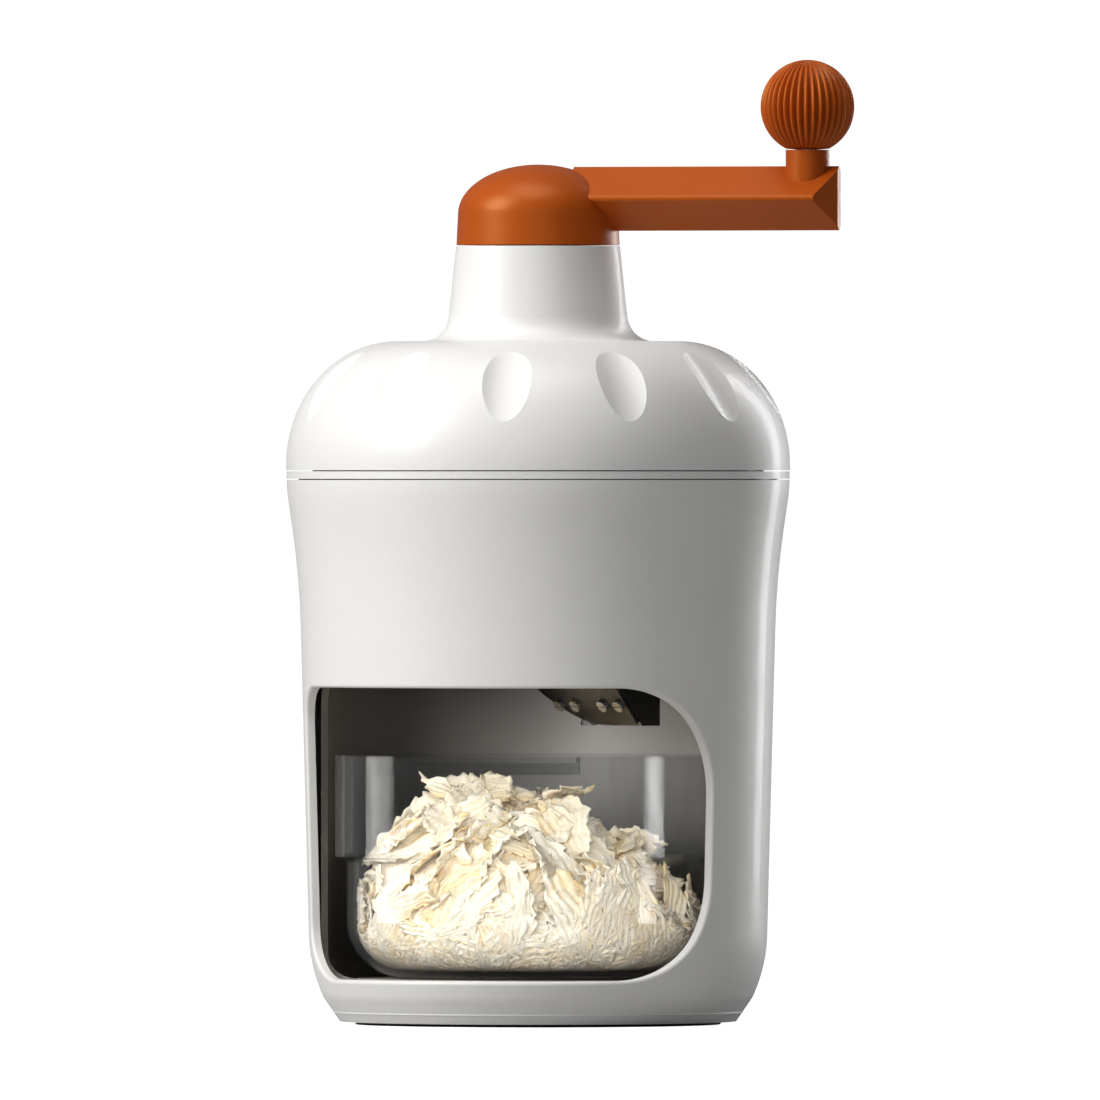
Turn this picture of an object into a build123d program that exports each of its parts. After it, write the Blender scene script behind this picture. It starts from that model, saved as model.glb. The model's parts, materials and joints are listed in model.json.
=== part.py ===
from build123d import *
import math
import os

os.makedirs("parts", exist_ok=True)

# Hand-cranked ice shaver, in millimetres. The origin is on the crank's axis, at the
# plane the feet rest on. +Z is up, the serving opening faces -Y and the crank arm
# points along +X at rest.

# Running gap between bodies that move apart, and radial gap of a shaft in its bush.
GAP = 0.3
RUNNING = 0.07

# Housing
WALL = 2.5
SHELL_BASE = 0.8
CHAMFER_TOP = 7.2
TAPER_LOW = 24.0
TAPER_HIGH = 107.0
FLARE_MIDDLE = 135.5
HOUSING_TOP = 146.0
FOOT_RING_R = 53.2
CHAMFER_R = 57.6
CHAMFER_BLEND_R = 9.0
TAPER_LOW_R = 61.5
TAPER_HIGH_R = 63.7
FLARE_MIDDLE_R = 66.3
RIM_R = 67.5
LIP_R = 47.0
LIP_LOW = 3.2
LIP_HIGH = 5.2

# Serving opening: a radial cut about -Y
OPENING_LOW = 12.4
OPENING_HIGH = 90.5
OPENING_HALF_ANGLE = 64.9
OPENING_INNER_R = 40.0
OPENING_OUTER_R = 80.0
OPENING_RIGHT_TOP_R = 29.0
OPENING_RIGHT_LOW_R = 27.0
OPENING_LEFT_TOP_R = 10.0
OPENING_LEFT_LOW_R = 15.0
OPENING_EDGE_R = 0.8
FRONT_ANGLE = -90.0

# Dark liner inside the opening
LINER_R = 58.2
LINER_WALL = 1.8
LINER_CORNER_R = 8.0
LINER_TOP = 92.5
LINER_RING_R = 51.0
LINER_FOOT_R = 50.0
LINER_BOSS_R = 4.0
LINER_CUT_GROWTH = 0.6
LINER_HALF_ANGLE = 72.0

# Base cover, foot ring and base screws
COVER_R = 50.4
COVER_LOW = 0.9
BASE_FIXING_PCR = 40.0
FOOT_INNER_R = 44.5
FOOT_OUTER_R = 49.0
FOOT_GROOVE_TOP = 1.9
FOOT_EDGE_R = 0.3
BASE_SCREW_R = 1.5
BASE_SCREW_HEAD_R = 2.8
BASE_SCREW_HEAD = 1.2
BASE_SCREW_LENGTH = 7.5
SLOT_WIDTH = 0.8
SLOT_DEPTH = 0.6

# Ice chamber
FLANGE_LOW = HOUSING_TOP + GAP
FLANGE_HIGH = 148.3
CHAMBER_R = 49.7
CHAMBER_INNER_R = 47.5
CHAMBER_LOW = 93.0
FLOOR_THICKNESS = 2.5
CHAMBER_CORNER_R = 3.0
CENTRING_R = 64.2
CENTRING_WIDTH = 2.2
CENTRING_DEPTH = 3.0
COLLAR_R = 60.5
COLLAR_WALL = 2.3
COLLAR_TOP = 160.0

# Bayonet ramps of the lid: one turn of the lid would lift it by this lead.
LID_LEAD = 48.0
LUG_COUNT = 3
LUG_SPAN = 26.0
CHAMBER_LUG_OUTER_R = 62.9
CHAMBER_LUG_LOW = 155.0
CHAMBER_LUG_HEIGHT = 2.4
LID_LUG_INNER_R = 61.0
LID_LUG_HEIGHT = 2.0
LUG_RAMP_R = 62.0

# Seal ring under the lid
SEAL_INNER_R = 61.2
SEAL_OUTER_R = 63.6
SEAL_HEIGHT = 2.0
SEAL_EDGE_R = 0.6

# Lid
LID_LOW = FLANGE_HIGH + GAP
LID_R = 67.6
LID_WALL = 3.0
DOME_LOW = 150.0
DOME_CENTRE_R = 38.0
DOME_WIDTH = LID_R - DOME_CENTRE_R
DOME_HEIGHT = 33.2
NECK_BLEND_R = 31.2
NECK_LOW_R = 24.0
NECK_LOW = 189.7
NECK_TOP_R = 22.0
LID_TOP = 208.7
NECK_PLATE = 3.0
BUSH_TUBE_R = 10.5
BUSH_TUBE_LOW = 190.0
NECK_RIB_COUNT = 6
NECK_RIB_WIDTH = 1.6
NECK_RIB_LENGTH = 11.0

# Finger scallops round the lid
SCALLOP_COUNT = 12
SCALLOP_OFFSET = 8.5
SCALLOP_HEIGHT = 172.6
SCALLOP_DEPTH = 1.8
SCALLOP_SECTION_R = 15.0
SCALLOP_PATH_R = 135.0
SCALLOP_SWEEP = 18.0

# Crank bush, drive shaft and its fittings
SHAFT_R = 5.0
SHAFT_FLATS = 8.4
SHAFT_LOW = 101.2
SHAFT_ROUND_LOW = 185.5
SHAFT_HEX_TOP = 209.5
SHAFT_TOP = 222.0
BUSH_R = 8.0
BUSH_TOP = 208.4
BUSH_FLANGE = 1.5
CLIP_LOW = 187.0
CLIP_THICKNESS = 1.1
CLIP_GROOVE_R = 4.3
CLIP_R = 7.2
CLIP_GAP = 6.0
SPRING_WASHER_LOW = 185.8
SPRING_WASHER_R = 9.2
END_WASHER_THICKNESS = 1.0
END_WASHER_R = 7.0
END_SCREW_R = 2.0
END_SCREW_HEAD_R = 3.8
END_SCREW_HEAD = 2.4
END_SCREW_LENGTH = 12.0

# Press plate and its spring
PLATE_LOW = 104.0
PLATE_THICKNESS = 3.5
PLATE_R = 46.4
PLATE_HUB_R = 9.5
PLATE_HUB_LOW = 101.5
PLATE_HUB_TOP = 118.0
PLATE_HOLE_FLATS = SHAFT_FLATS + 0.2
PLATE_RIB_COUNT = 6
PLATE_RIB_WIDTH = 2.4
PLATE_RIB_HEIGHT = 4.0
SPIKE_ROW_RADII = (20.0, 34.0)
SPIKE_COUNT = 6
SPIKE_R = 2.6
SPIKE_TIP_R = 0.5
SPIKE_LENGTH = 5.5
SPRING_R = 7.3
SPRING_WIRE_R = 0.8
SPRING_TURNS = 7

# Crank arm and hub
HUB_LOW = LID_TOP + GAP
HUB_BASE_R = 21.9
HUB_SHOULDER_R = 21.5
HUB_SHOULDER = 217.3
HUB_DOME_HEIGHT = 13.3
HUB_WALL = 3.2
HUB_BOSS_R = 9.2
HUB_HOLLOW_TOP = 217.0
THRUST_WASHER = 1.0
ARM_MIDDLE = 221.35
ARM_HALF_HEIGHT = 8.6
ARM_HALF_DEPTH = 11.6
ARM_SIDE_RIDGE_R = 1.0
ARM_END = 84.0
ARM_END_HALF_WIDTH = 1.5
ARM_FACET_START = 79.4
ARM_ROOT = 10.0

# Knob, its neck on the arm and its pin
KNOB_X = 75.2
NECK_R = 5.85
NECK_TOP = 234.3
KNOB_R = 12.6
KNOB_MIDDLE = 245.8
KNOB_LOW = NECK_TOP + GAP
KNOB_GROOVES = 38
GROOVE_HALF_WIDTH = 0.5
GROOVE_DEPTH = 0.7
GROOVE_HALF_SWEEP = 58.0
PIN_R = 3.0
PIN_LOW = 219.0
PIN_SHOULDER = 247.4
PIN_HEAD_R = 3.7
PIN_TOP = 250.5
PIN_POCKET_TOP = 251.5

# Blade block: it runs out from the axis at this angle from +X, under the chamber floor.
BLADE_ANGLE = -35.0
BLOCK_START = 5.0
BLOCK_END = 41.0
BLOCK_LOW = 80.3
BLOCK_BACK = 9.0
BLOCK_FRONT_LOW = 3.0
BLOCK_FRONT_HIGH = -6.5
BLOCK_NOSE_LENGTH = 20.0
BLOCK_NOSE_R = 30.0
BLADE_THICKNESS = 1.0
BLADE_PROUD = 0.3
BLADE_LOW = 81.3
BLADE_BEVEL = 1.6
BLADE_START = 5.5
SLOT_FRONT = -17.0
SLOT_BACK = -6.2
BLADE_SCREW_PLACES = (12.5, 19.3, 31.0, 37.8)
BLADE_SCREW_HEIGHT = 86.4
BLADE_SCREW_R = 1.0
BLADE_SCREW_HEAD_R = 1.7
BLADE_SCREW_HEAD = 0.9
BLADE_SCREW_LENGTH = 4.0
BLOCK_SCREW_PLACES = (15.0, 33.0)
BLOCK_SCREW_ACROSS = 5.6
BLOCK_SCREW_R = 1.2
BLOCK_SCREW_HEAD_R = 2.3
BLOCK_SCREW_HEAD = 1.5
BLOCK_SCREW_BITE = 1.8

# Serving bowl
BOWL_FORWARD = 5.0
BOWL_LOW = 12.7
BOWL_TOP = 72.2
BOWL_RIM_R = 53.2
BOWL_BODY_R = 50.0
BOWL_SHOULDER = 43.5
BOWL_SHOULDER_RISE = 1.6
BOWL_CORNER_R = 15.0
BOWL_WALL = 1.8
GRIP_R = 58.5
GRIP_HALF_ANGLE = 29.0
GRIP_PLATE = 1.5
GRIP_SKIRT = 1.5
GRIP_LOW = 67.5


def radial_plane(angle):
    """Upright plane through the axis: local x runs outwards at this angle, local y is up."""
    turn = math.radians(angle)
    outwards = (math.cos(turn), math.sin(turn), 0)
    return Plane(origin=(0, 0, 0), x_dir=outwards, z_dir=(math.sin(turn), -math.cos(turn), 0))


def add_ring(low, high, outer, inner, mode=Mode.ADD):
    """Add or cut a plain ring about the axis in the part being built."""
    with BuildSketch(Plane.XY.offset(low)) as section:
        Circle(outer)
        if inner > 0:
            Circle(inner, mode=Mode.SUBTRACT)
    extrude(section.sketch, amount=high - low, mode=mode)


def add_discs(low, high, radius, places, mode=Mode.ADD):
    """Add or cut round pins or holes, all upright, at the given (x, y) places."""
    with BuildSketch(Plane.XY.offset(low)) as section:
        with Locations(*places):
            Circle(radius)
    extrude(section.sketch, amount=high - low, mode=mode)


def polar_places(radius, count, start):
    """(x, y) of equally spaced places on a circle, the first at the start angle."""
    turns = [math.radians(start + 360 * step / count) for step in range(count)]
    return [(radius * math.cos(turn), radius * math.sin(turn)) for turn in turns]


# Opening cutter ------------------------------------------------------------------


def opening_cutter(growth, half):
    """Wedge that cuts the serving opening: a half-angle across, grown by a margin up and down."""
    left = radial_plane(FRONT_ANGLE - half)
    right = radial_plane(FRONT_ANGLE + half)
    low = OPENING_LOW - growth
    with BuildPart() as cutter:
        with BuildSketch(left):
            with Locations(((OPENING_INNER_R + OPENING_OUTER_R) / 2, (low + OPENING_HIGH + growth) / 2)):
                Rectangle(OPENING_OUTER_R - OPENING_INNER_R, OPENING_HIGH + growth - low)
        revolve(axis=Axis.Z, revolution_arc=2 * half)
        for plane, low_r, top_r in (
            (left, OPENING_LEFT_LOW_R, OPENING_LEFT_TOP_R),
            (right, OPENING_RIGHT_LOW_R, OPENING_RIGHT_TOP_R),
        ):
            spokes = cutter.edges().filter_by(Axis((0, 0, 0), plane.x_dir)).sort_by(Axis.Z)
            fillet(spokes[-1], top_r + growth)
            spokes = cutter.edges().filter_by(Axis((0, 0, 0), plane.x_dir)).sort_by(Axis.Z)
            fillet(spokes[0], low_r + growth)
    return cutter.part


# Housing --------------------------------------------------------------------------


def housing_profile(inset):
    """Closed half-section of the housing, drawn in from its outer face by the inset."""
    foot = (FOOT_RING_R - inset, SHELL_BASE)
    chamfer_top = (CHAMFER_R - inset, CHAMFER_TOP)
    taper_low = (TAPER_LOW_R - inset, TAPER_LOW)
    taper_high = (TAPER_HIGH_R - inset, TAPER_HIGH)
    flare = (FLARE_MIDDLE_R - inset, FLARE_MIDDLE)
    rim = (RIM_R - inset, HOUSING_TOP)
    taper = (TAPER_HIGH_R - TAPER_LOW_R, TAPER_HIGH - TAPER_LOW)
    Line((0, SHELL_BASE), foot)
    Line(foot, chamfer_top)
    TangentArc(taper_low, chamfer_top, tangent=(-taper[0], -taper[1]))
    Line(taper_low, taper_high)
    Spline(taper_high, flare, rim, tangents=(taper, taper))
    Line(rim, (0, HOUSING_TOP))
    Line((0, HOUSING_TOP), (0, SHELL_BASE))


def on_outer_face(edge):
    """True for an edge of the opening that lies on the housing's outer face."""
    middle = edge.position_at(0.5)
    slope = (TAPER_HIGH_R - TAPER_LOW_R) / (TAPER_HIGH - TAPER_LOW)
    outer_r = TAPER_LOW_R + slope * (middle.Z - TAPER_LOW)
    return math.hypot(middle.X, middle.Y) > outer_r - 0.8 * WALL


def build_housing():
    """White outer shell with the serving opening and an inner lip that takes the base."""
    cutter = opening_cutter(0, OPENING_HALF_ANGLE)
    with BuildPart() as housing:
        with BuildSketch(Plane.XZ) as section:
            with BuildLine():
                housing_profile(0)
            make_face()
            corner = section.vertices().sort_by_distance((CHAMFER_R, CHAMFER_TOP, 0))[0]
            fillet(corner, CHAMFER_BLEND_R)
            with BuildLine():
                housing_profile(WALL)
            make_face(mode=Mode.SUBTRACT)
        revolve(axis=Axis.Z)
        add_ring(LIP_LOW, LIP_HIGH, CHAMFER_R - WALL, LIP_R)
        add(cutter, mode=Mode.SUBTRACT)
        beside_opening = housing.edges().filter_by_position(Axis.Y, -RIM_R, 0)
        between = beside_opening.filter_by_position(Axis.Z, OPENING_LOW, OPENING_HIGH)
        fillet(between.filter_by(on_outer_face), OPENING_EDGE_R)
    housing.part.label = "housing"
    export_step(housing.part, "parts/housing.step")


def build_liner():
    """Dark cup inside the opening: floor, wall, top ring, foot ring and screw bosses."""
    cutter = opening_cutter(LINER_CUT_GROWTH, LINER_HALF_ANGLE)
    floor_low = OPENING_LOW - LINER_WALL
    bosses = polar_places(BASE_FIXING_PCR, 4, 0)
    with BuildPart() as liner:
        with BuildSketch(Plane.XZ):
            with Locations((LINER_R / 2, (floor_low + LINER_TOP) / 2)):
                Rectangle(LINER_R, LINER_TOP - floor_low)
        revolve(axis=Axis.Z)
        fillet(liner.edges().group_by(Axis.Z)[0], LINER_CORNER_R)
        hollow_r = LINER_R - LINER_WALL
        with BuildSketch(Plane.XZ, mode=Mode.PRIVATE) as hollow:
            with BuildLine():
                corner_r = LINER_CORNER_R - LINER_WALL
                Line((0, OPENING_LOW), (hollow_r - corner_r, OPENING_LOW))
                RadiusArc(
                    (hollow_r - corner_r, OPENING_LOW),
                    (hollow_r, OPENING_LOW + corner_r),
                    -corner_r,
                )
                Line((hollow_r, OPENING_LOW + corner_r), (hollow_r, LINER_TOP - LINER_WALL))
                Line((hollow_r, LINER_TOP - LINER_WALL), (LINER_RING_R, LINER_TOP - LINER_WALL))
                Line((LINER_RING_R, LINER_TOP - LINER_WALL), (LINER_RING_R, LINER_TOP))
                Line((LINER_RING_R, LINER_TOP), (0, LINER_TOP))
                Line((0, LINER_TOP), (0, OPENING_LOW))
            make_face()
        revolve(hollow.sketch, axis=Axis.Z, mode=Mode.SUBTRACT)
        add(cutter, mode=Mode.SUBTRACT)
        add_ring(floor_low, OPENING_LOW, LINER_FOOT_R, 0)
        add_ring(LIP_HIGH, floor_low, LINER_FOOT_R, LINER_FOOT_R - WALL)
        add_discs(LIP_LOW, floor_low, LINER_BOSS_R, bosses)
        add_discs(LIP_LOW, LIP_LOW + BASE_SCREW_LENGTH, BASE_SCREW_R, bosses, Mode.SUBTRACT)
    liner.part.label = "liner"
    export_step(liner.part, "parts/liner.step")


def build_base_cover():
    """Round cover that closes the underside, with a groove for the foot ring."""
    screws = polar_places(BASE_FIXING_PCR, 4, 0)
    head_top = COVER_LOW + BASE_SCREW_HEAD
    with BuildPart() as base_cover:
        add_ring(COVER_LOW, LIP_LOW, COVER_R, 0)
        add_ring(COVER_LOW, FOOT_GROOVE_TOP, FOOT_OUTER_R, FOOT_INNER_R, Mode.SUBTRACT)
        add_discs(COVER_LOW, head_top, BASE_SCREW_HEAD_R + GAP, screws, Mode.SUBTRACT)
        add_discs(head_top, LIP_LOW, BASE_SCREW_R + GAP, screws, Mode.SUBTRACT)
    base_cover.part.label = "base_cover"
    export_step(base_cover.part, "parts/base_cover.step")


def build_foot_ring():
    """Rubber ring that the shaver stands on, seated in the base cover's groove."""
    with BuildPart() as foot_ring:
        add_ring(0, FOOT_GROOVE_TOP, FOOT_OUTER_R, FOOT_INNER_R)
        fillet(foot_ring.edges().group_by(Axis.Z)[0], FOOT_EDGE_R)
    foot_ring.part.label = "foot_ring"
    export_step(foot_ring.part, "parts/foot_ring.step")


def build_base_screws():
    """Four screws that pull the base cover and the liner together on the housing's lip."""
    places = polar_places(BASE_FIXING_PCR, 4, 0)
    head_top = COVER_LOW + BASE_SCREW_HEAD
    with BuildPart() as base_screws:
        add_discs(COVER_LOW, head_top, BASE_SCREW_HEAD_R, places)
        add_discs(head_top, LIP_LOW + BASE_SCREW_LENGTH, BASE_SCREW_R, places)
        with BuildSketch(Plane.XY.offset(COVER_LOW)):
            with Locations(*places):
                Rectangle(BASE_SCREW_HEAD_R, SLOT_WIDTH)
                Rectangle(SLOT_WIDTH, BASE_SCREW_HEAD_R)
        extrude(amount=SLOT_DEPTH, mode=Mode.SUBTRACT)
    base_screws.part.label = "base_screws"
    export_step(base_screws.part, "parts/base_screws.step")


# Ice chamber ----------------------------------------------------------------------


def blade_point(along, across, height):
    """Point beside the blade: along it from the axis, across it, and a height."""
    turn = math.radians(BLADE_ANGLE)
    x = along * math.cos(turn) - across * math.sin(turn)
    y = along * math.sin(turn) + across * math.cos(turn)
    return (x, y, height)


def blade_section_plane(along):
    """Upright plane across the blade: local x is across it, local y is up."""
    turn = math.radians(BLADE_ANGLE)
    across = (-math.sin(turn), math.cos(turn), 0)
    outwards = (math.cos(turn), math.sin(turn), 0)
    return Plane(origin=blade_point(along, 0, 0), x_dir=across, z_dir=outwards)


def blade_face_plane(lift):
    """Plane of the block's sloping front face at screw height, lifted off it a little."""
    rise = CHAMBER_LOW - BLOCK_LOW
    run = BLOCK_FRONT_HIGH - BLOCK_FRONT_LOW
    length = math.hypot(rise, run)
    share = (BLADE_SCREW_HEIGHT - BLOCK_LOW) / rise
    turn = math.radians(BLADE_ANGLE)
    across = (-math.sin(turn), math.cos(turn))
    outwards = (math.cos(turn), math.sin(turn), 0)
    normal = Vector(-across[0] * rise / length, -across[1] * rise / length, run / length)
    start = Vector(*blade_point(0, BLOCK_FRONT_LOW + run * share, BLADE_SCREW_HEIGHT))
    return Plane(origin=start + normal * lift, x_dir=outwards, z_dir=normal)


def ramp_lugs(inner, outer, low, height):
    """Bayonet ramps between two radii: slices of a helical ramp about the axis."""
    half = math.radians(LUG_SPAN / 2) * LUG_RAMP_R
    rise = LID_LEAD * LUG_SPAN / 2 / 360
    start, end = low - rise, low + rise
    corners = [(-half, start), (half, end), (half, end + height), (-half, start + height)]
    tangent_plane = Plane(origin=(inner - WALL, 0, 0), x_dir=(0, 1, 0), z_dir=(1, 0, 0))
    with BuildPart() as ramp:
        with BuildSketch(tangent_plane):
            Polygon(*corners, align=None)
        extrude(amount=outer - inner + 2 * WALL)
        add_ring(low - height, low + 3 * height, outer, inner, Mode.INTERSECT)
    return [ramp.part.rotate(Axis.Z, 360 * step / LUG_COUNT) for step in range(LUG_COUNT)]


def build_ice_chamber():
    """Canister for the ice: slotted floor, wall, flange on the housing and lid collar."""
    inner = COLLAR_R - COLLAR_WALL / 2
    lugs = ramp_lugs(inner, CHAMBER_LUG_OUTER_R, CHAMBER_LUG_LOW, CHAMBER_LUG_HEIGHT)
    floor_top = CHAMBER_LOW + FLOOR_THICKNESS
    screws = [blade_point(along, BLOCK_SCREW_ACROSS, 0)[:2] for along in BLOCK_SCREW_PLACES]
    with BuildPart() as ice_chamber:
        add_ring(CHAMBER_LOW, FLANGE_LOW, CHAMBER_R, 0)
        fillet(ice_chamber.edges().group_by(Axis.Z)[0], CHAMBER_CORNER_R / 2)
        add_ring(FLANGE_LOW, FLANGE_HIGH, RIM_R, 0)
        add_ring(FLANGE_LOW - CENTRING_DEPTH, FLANGE_LOW, CENTRING_R, CENTRING_R - CENTRING_WIDTH)
        add_ring(FLANGE_HIGH, COLLAR_TOP, COLLAR_R, COLLAR_R - COLLAR_WALL)
        add(lugs)
        add_ring(floor_top, COLLAR_TOP, CHAMBER_INNER_R, 0, Mode.SUBTRACT)
        with BuildSketch(blade_section_plane(BLADE_START)):
            with Locations(((SLOT_FRONT + SLOT_BACK) / 2, CHAMBER_LOW + FLOOR_THICKNESS / 2)):
                Rectangle(SLOT_BACK - SLOT_FRONT, 2 * FLOOR_THICKNESS)
        extrude(amount=BLOCK_END - BLADE_START, mode=Mode.SUBTRACT)
        add_discs(CHAMBER_LOW, CHAMBER_LOW + BLOCK_SCREW_BITE, BLOCK_SCREW_R, screws, Mode.SUBTRACT)
    ice_chamber.part.label = "ice_chamber"
    export_step(ice_chamber.part, "parts/ice_chamber.step")


def nose_cutter():
    """What lies beyond the curved nose of the block, cut from the block and the blade."""
    side = Plane(
        origin=blade_point(0, SLOT_FRONT, 0),
        x_dir=blade_face_plane(0).x_dir,
        z_dir=(-blade_section_plane(0).x_dir),
    )
    nose_top = (BLOCK_START, CHAMBER_LOW - FLOOR_THICKNESS / 2)
    nose_low = (BLOCK_START + BLOCK_NOSE_LENGTH, BLOCK_LOW)
    with BuildPart() as cutter:
        with BuildSketch(side):
            with BuildLine():
                RadiusArc(nose_top, nose_low, -BLOCK_NOSE_R)
                Polyline(nose_low, (BLOCK_START, BLOCK_LOW), nose_top)
            make_face()
        extrude(amount=2 * SLOT_FRONT)
    return cutter.part


def build_blade_block():
    """Dark block under the chamber floor that the blade is clamped to, nose cut back."""
    screws = [blade_point(along, BLOCK_SCREW_ACROSS, 0)[:2] for along in BLOCK_SCREW_PLACES]
    head_top = BLOCK_LOW + BLOCK_SCREW_HEAD
    face = blade_face_plane(0)
    nose = nose_cutter()
    with BuildPart() as blade_block:
        with BuildSketch(blade_section_plane(BLOCK_START)):
            with BuildLine():
                Polyline(
                    (BLOCK_FRONT_HIGH, CHAMBER_LOW),
                    (BLOCK_BACK, CHAMBER_LOW),
                    (BLOCK_BACK, BLOCK_LOW),
                    (BLOCK_FRONT_LOW, BLOCK_LOW),
                    close=True,
                )
            make_face()
        extrude(amount=BLOCK_END - BLOCK_START)
        add(nose, mode=Mode.SUBTRACT)
        with BuildSketch(face):
            with Locations(*[(along, 0) for along in BLADE_SCREW_PLACES]):
                Circle(BLADE_SCREW_R)
        extrude(amount=-BLADE_SCREW_LENGTH, mode=Mode.SUBTRACT)
        add_discs(BLOCK_LOW, head_top, BLOCK_SCREW_HEAD_R + GAP, screws, Mode.SUBTRACT)
        add_discs(head_top, CHAMBER_LOW, BLOCK_SCREW_R + GAP, screws, Mode.SUBTRACT)
    blade_block.part.label = "blade_block"
    export_step(blade_block.part, "parts/blade_block.step")


def build_blade():
    """Steel blade on the block's sloping face, its edge just proud of the floor."""
    rise = CHAMBER_LOW - BLOCK_LOW
    run = BLOCK_FRONT_HIGH - BLOCK_FRONT_LOW
    length = math.hypot(rise, run)
    up = Vector(run / length, rise / length)
    front = Vector(-rise / length, run / length) * BLADE_THICKNESS
    corner = Vector(BLOCK_FRONT_LOW, BLOCK_LOW)
    tip_height = CHAMBER_LOW + FLOOR_THICKNESS + BLADE_PROUD
    low = corner + up * ((BLADE_LOW - BLOCK_LOW) / up.Y)
    tip = corner + up * ((tip_height - BLOCK_LOW) / up.Y)
    bevel = tip - up * BLADE_BEVEL + front
    outline = [(point.X, point.Y) for point in (low, tip, bevel, low + front)]
    nose = nose_cutter()
    with BuildPart() as blade:
        with BuildSketch(blade_section_plane(BLADE_START + GAP)):
            with BuildLine():
                Polyline(*outline, close=True)
            make_face()
        extrude(amount=BLOCK_END - BLADE_START - 2 * GAP)
        add(nose, mode=Mode.SUBTRACT)
        with BuildSketch(blade_face_plane(0)):
            with Locations(*[(along, 0) for along in BLADE_SCREW_PLACES]):
                Circle(BLADE_SCREW_R)
        extrude(amount=2 * BLADE_THICKNESS, mode=Mode.SUBTRACT)
    blade.part.label = "blade"
    export_step(blade.part, "parts/blade.step")


def build_blade_screws():
    """Four small screws that clamp the blade to its block."""
    places = [(along, 0) for along in BLADE_SCREW_PLACES]
    with BuildPart() as blade_screws:
        with BuildSketch(blade_face_plane(BLADE_THICKNESS)):
            with Locations(*places):
                Circle(BLADE_SCREW_HEAD_R)
        extrude(amount=BLADE_SCREW_HEAD)
        with BuildSketch(blade_face_plane(BLADE_THICKNESS)):
            with Locations(*places):
                Circle(BLADE_SCREW_R)
        extrude(amount=-BLADE_SCREW_LENGTH)
        with BuildSketch(blade_face_plane(BLADE_THICKNESS + BLADE_SCREW_HEAD)):
            with Locations(*places):
                Rectangle(2 * BLADE_SCREW_HEAD_R, SLOT_WIDTH / 2)
        extrude(amount=-BLADE_SCREW_HEAD / 2, mode=Mode.SUBTRACT)
    blade_screws.part.label = "blade_screws"
    export_step(blade_screws.part, "parts/blade_screws.step")


def build_block_screws():
    """Two long screws that hold the blade block up against the chamber floor."""
    screws = [blade_point(along, BLOCK_SCREW_ACROSS, 0)[:2] for along in BLOCK_SCREW_PLACES]
    head_top = BLOCK_LOW + BLOCK_SCREW_HEAD
    with BuildPart() as block_screws:
        add_discs(BLOCK_LOW, head_top, BLOCK_SCREW_HEAD_R, screws)
        add_discs(head_top, CHAMBER_LOW + BLOCK_SCREW_BITE, BLOCK_SCREW_R, screws)
        with BuildSketch(Plane.XY.offset(BLOCK_LOW)):
            with Locations(*screws):
                Rectangle(BLOCK_SCREW_HEAD_R, SLOT_WIDTH)
                Rectangle(SLOT_WIDTH, BLOCK_SCREW_HEAD_R)
        extrude(amount=SLOT_DEPTH, mode=Mode.SUBTRACT)
    block_screws.part.label = "block_screws"
    export_step(block_screws.part, "parts/block_screws.step")


# Lid ------------------------------------------------------------------------------


def build_seal_ring():
    """Soft ring that the lid turns on, between its wall and the chamber's collar."""
    low = FLANGE_HIGH + GAP
    with BuildPart() as seal_ring:
        add_ring(low, low + SEAL_HEIGHT, SEAL_OUTER_R, SEAL_INNER_R)
        fillet(seal_ring.edges().group_by(Axis.Z)[-1], SEAL_EDGE_R)
    seal_ring.part.label = "seal_ring"
    export_step(seal_ring.part, "parts/seal_ring.step")


def lid_profile(inset, top):
    """Closed half-section of the lid, drawn in from its outer face by the inset."""
    roof = DOME_LOW + DOME_HEIGHT - inset
    Line((0, LID_LOW), (LID_R - inset, LID_LOW))
    Line((LID_R - inset, LID_LOW), (LID_R - inset, DOME_LOW))
    EllipticalCenterArc((DOME_CENTRE_R, DOME_LOW), DOME_WIDTH - inset, DOME_HEIGHT - inset, arc_size=90)
    Line((DOME_CENTRE_R, roof), (NECK_BLEND_R, roof))
    TangentArc((NECK_BLEND_R, roof), (NECK_LOW_R - inset, NECK_LOW), tangent=(-1, 0))
    Line((NECK_LOW_R - inset, NECK_LOW), (NECK_TOP_R - inset, top))
    Line((NECK_TOP_R - inset, top), (0, top))
    Line((0, top), (0, LID_LOW))


def scallop_cutter(angle):
    """Curved scoop that presses one finger scallop into the dome at this angle."""
    height = (SCALLOP_HEIGHT - DOME_LOW) / DOME_HEIGHT
    width = math.sqrt(1 - height**2)
    surface_r = DOME_CENTRE_R + DOME_WIDTH * width
    slope = math.degrees(math.atan2(height / DOME_HEIGHT, width / DOME_WIDTH))
    turn = math.radians(angle)
    lean = math.radians(slope)
    outwards = Vector(math.cos(turn), math.sin(turn), 0)
    sideways = Vector(-math.sin(turn), math.cos(turn), 0)
    normal = outwards * math.cos(lean) + Vector(0, 0, math.sin(lean))
    surface = outwards * surface_r + Vector(0, 0, SCALLOP_HEIGHT)
    pivot = surface - normal * (SCALLOP_DEPTH + SCALLOP_PATH_R)
    hinge = Axis(pivot, sideways)
    start = Plane(origin=pivot, x_dir=sideways, z_dir=normal.cross(sideways) * -1)
    with BuildPart() as cutter:
        with BuildSketch(start):
            with Locations((0, SCALLOP_PATH_R + SCALLOP_SECTION_R)):
                Circle(SCALLOP_SECTION_R)
        revolve(axis=hinge, revolution_arc=SCALLOP_SWEEP)
    return cutter.part.rotate(hinge, -SCALLOP_SWEEP / 2)


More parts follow.
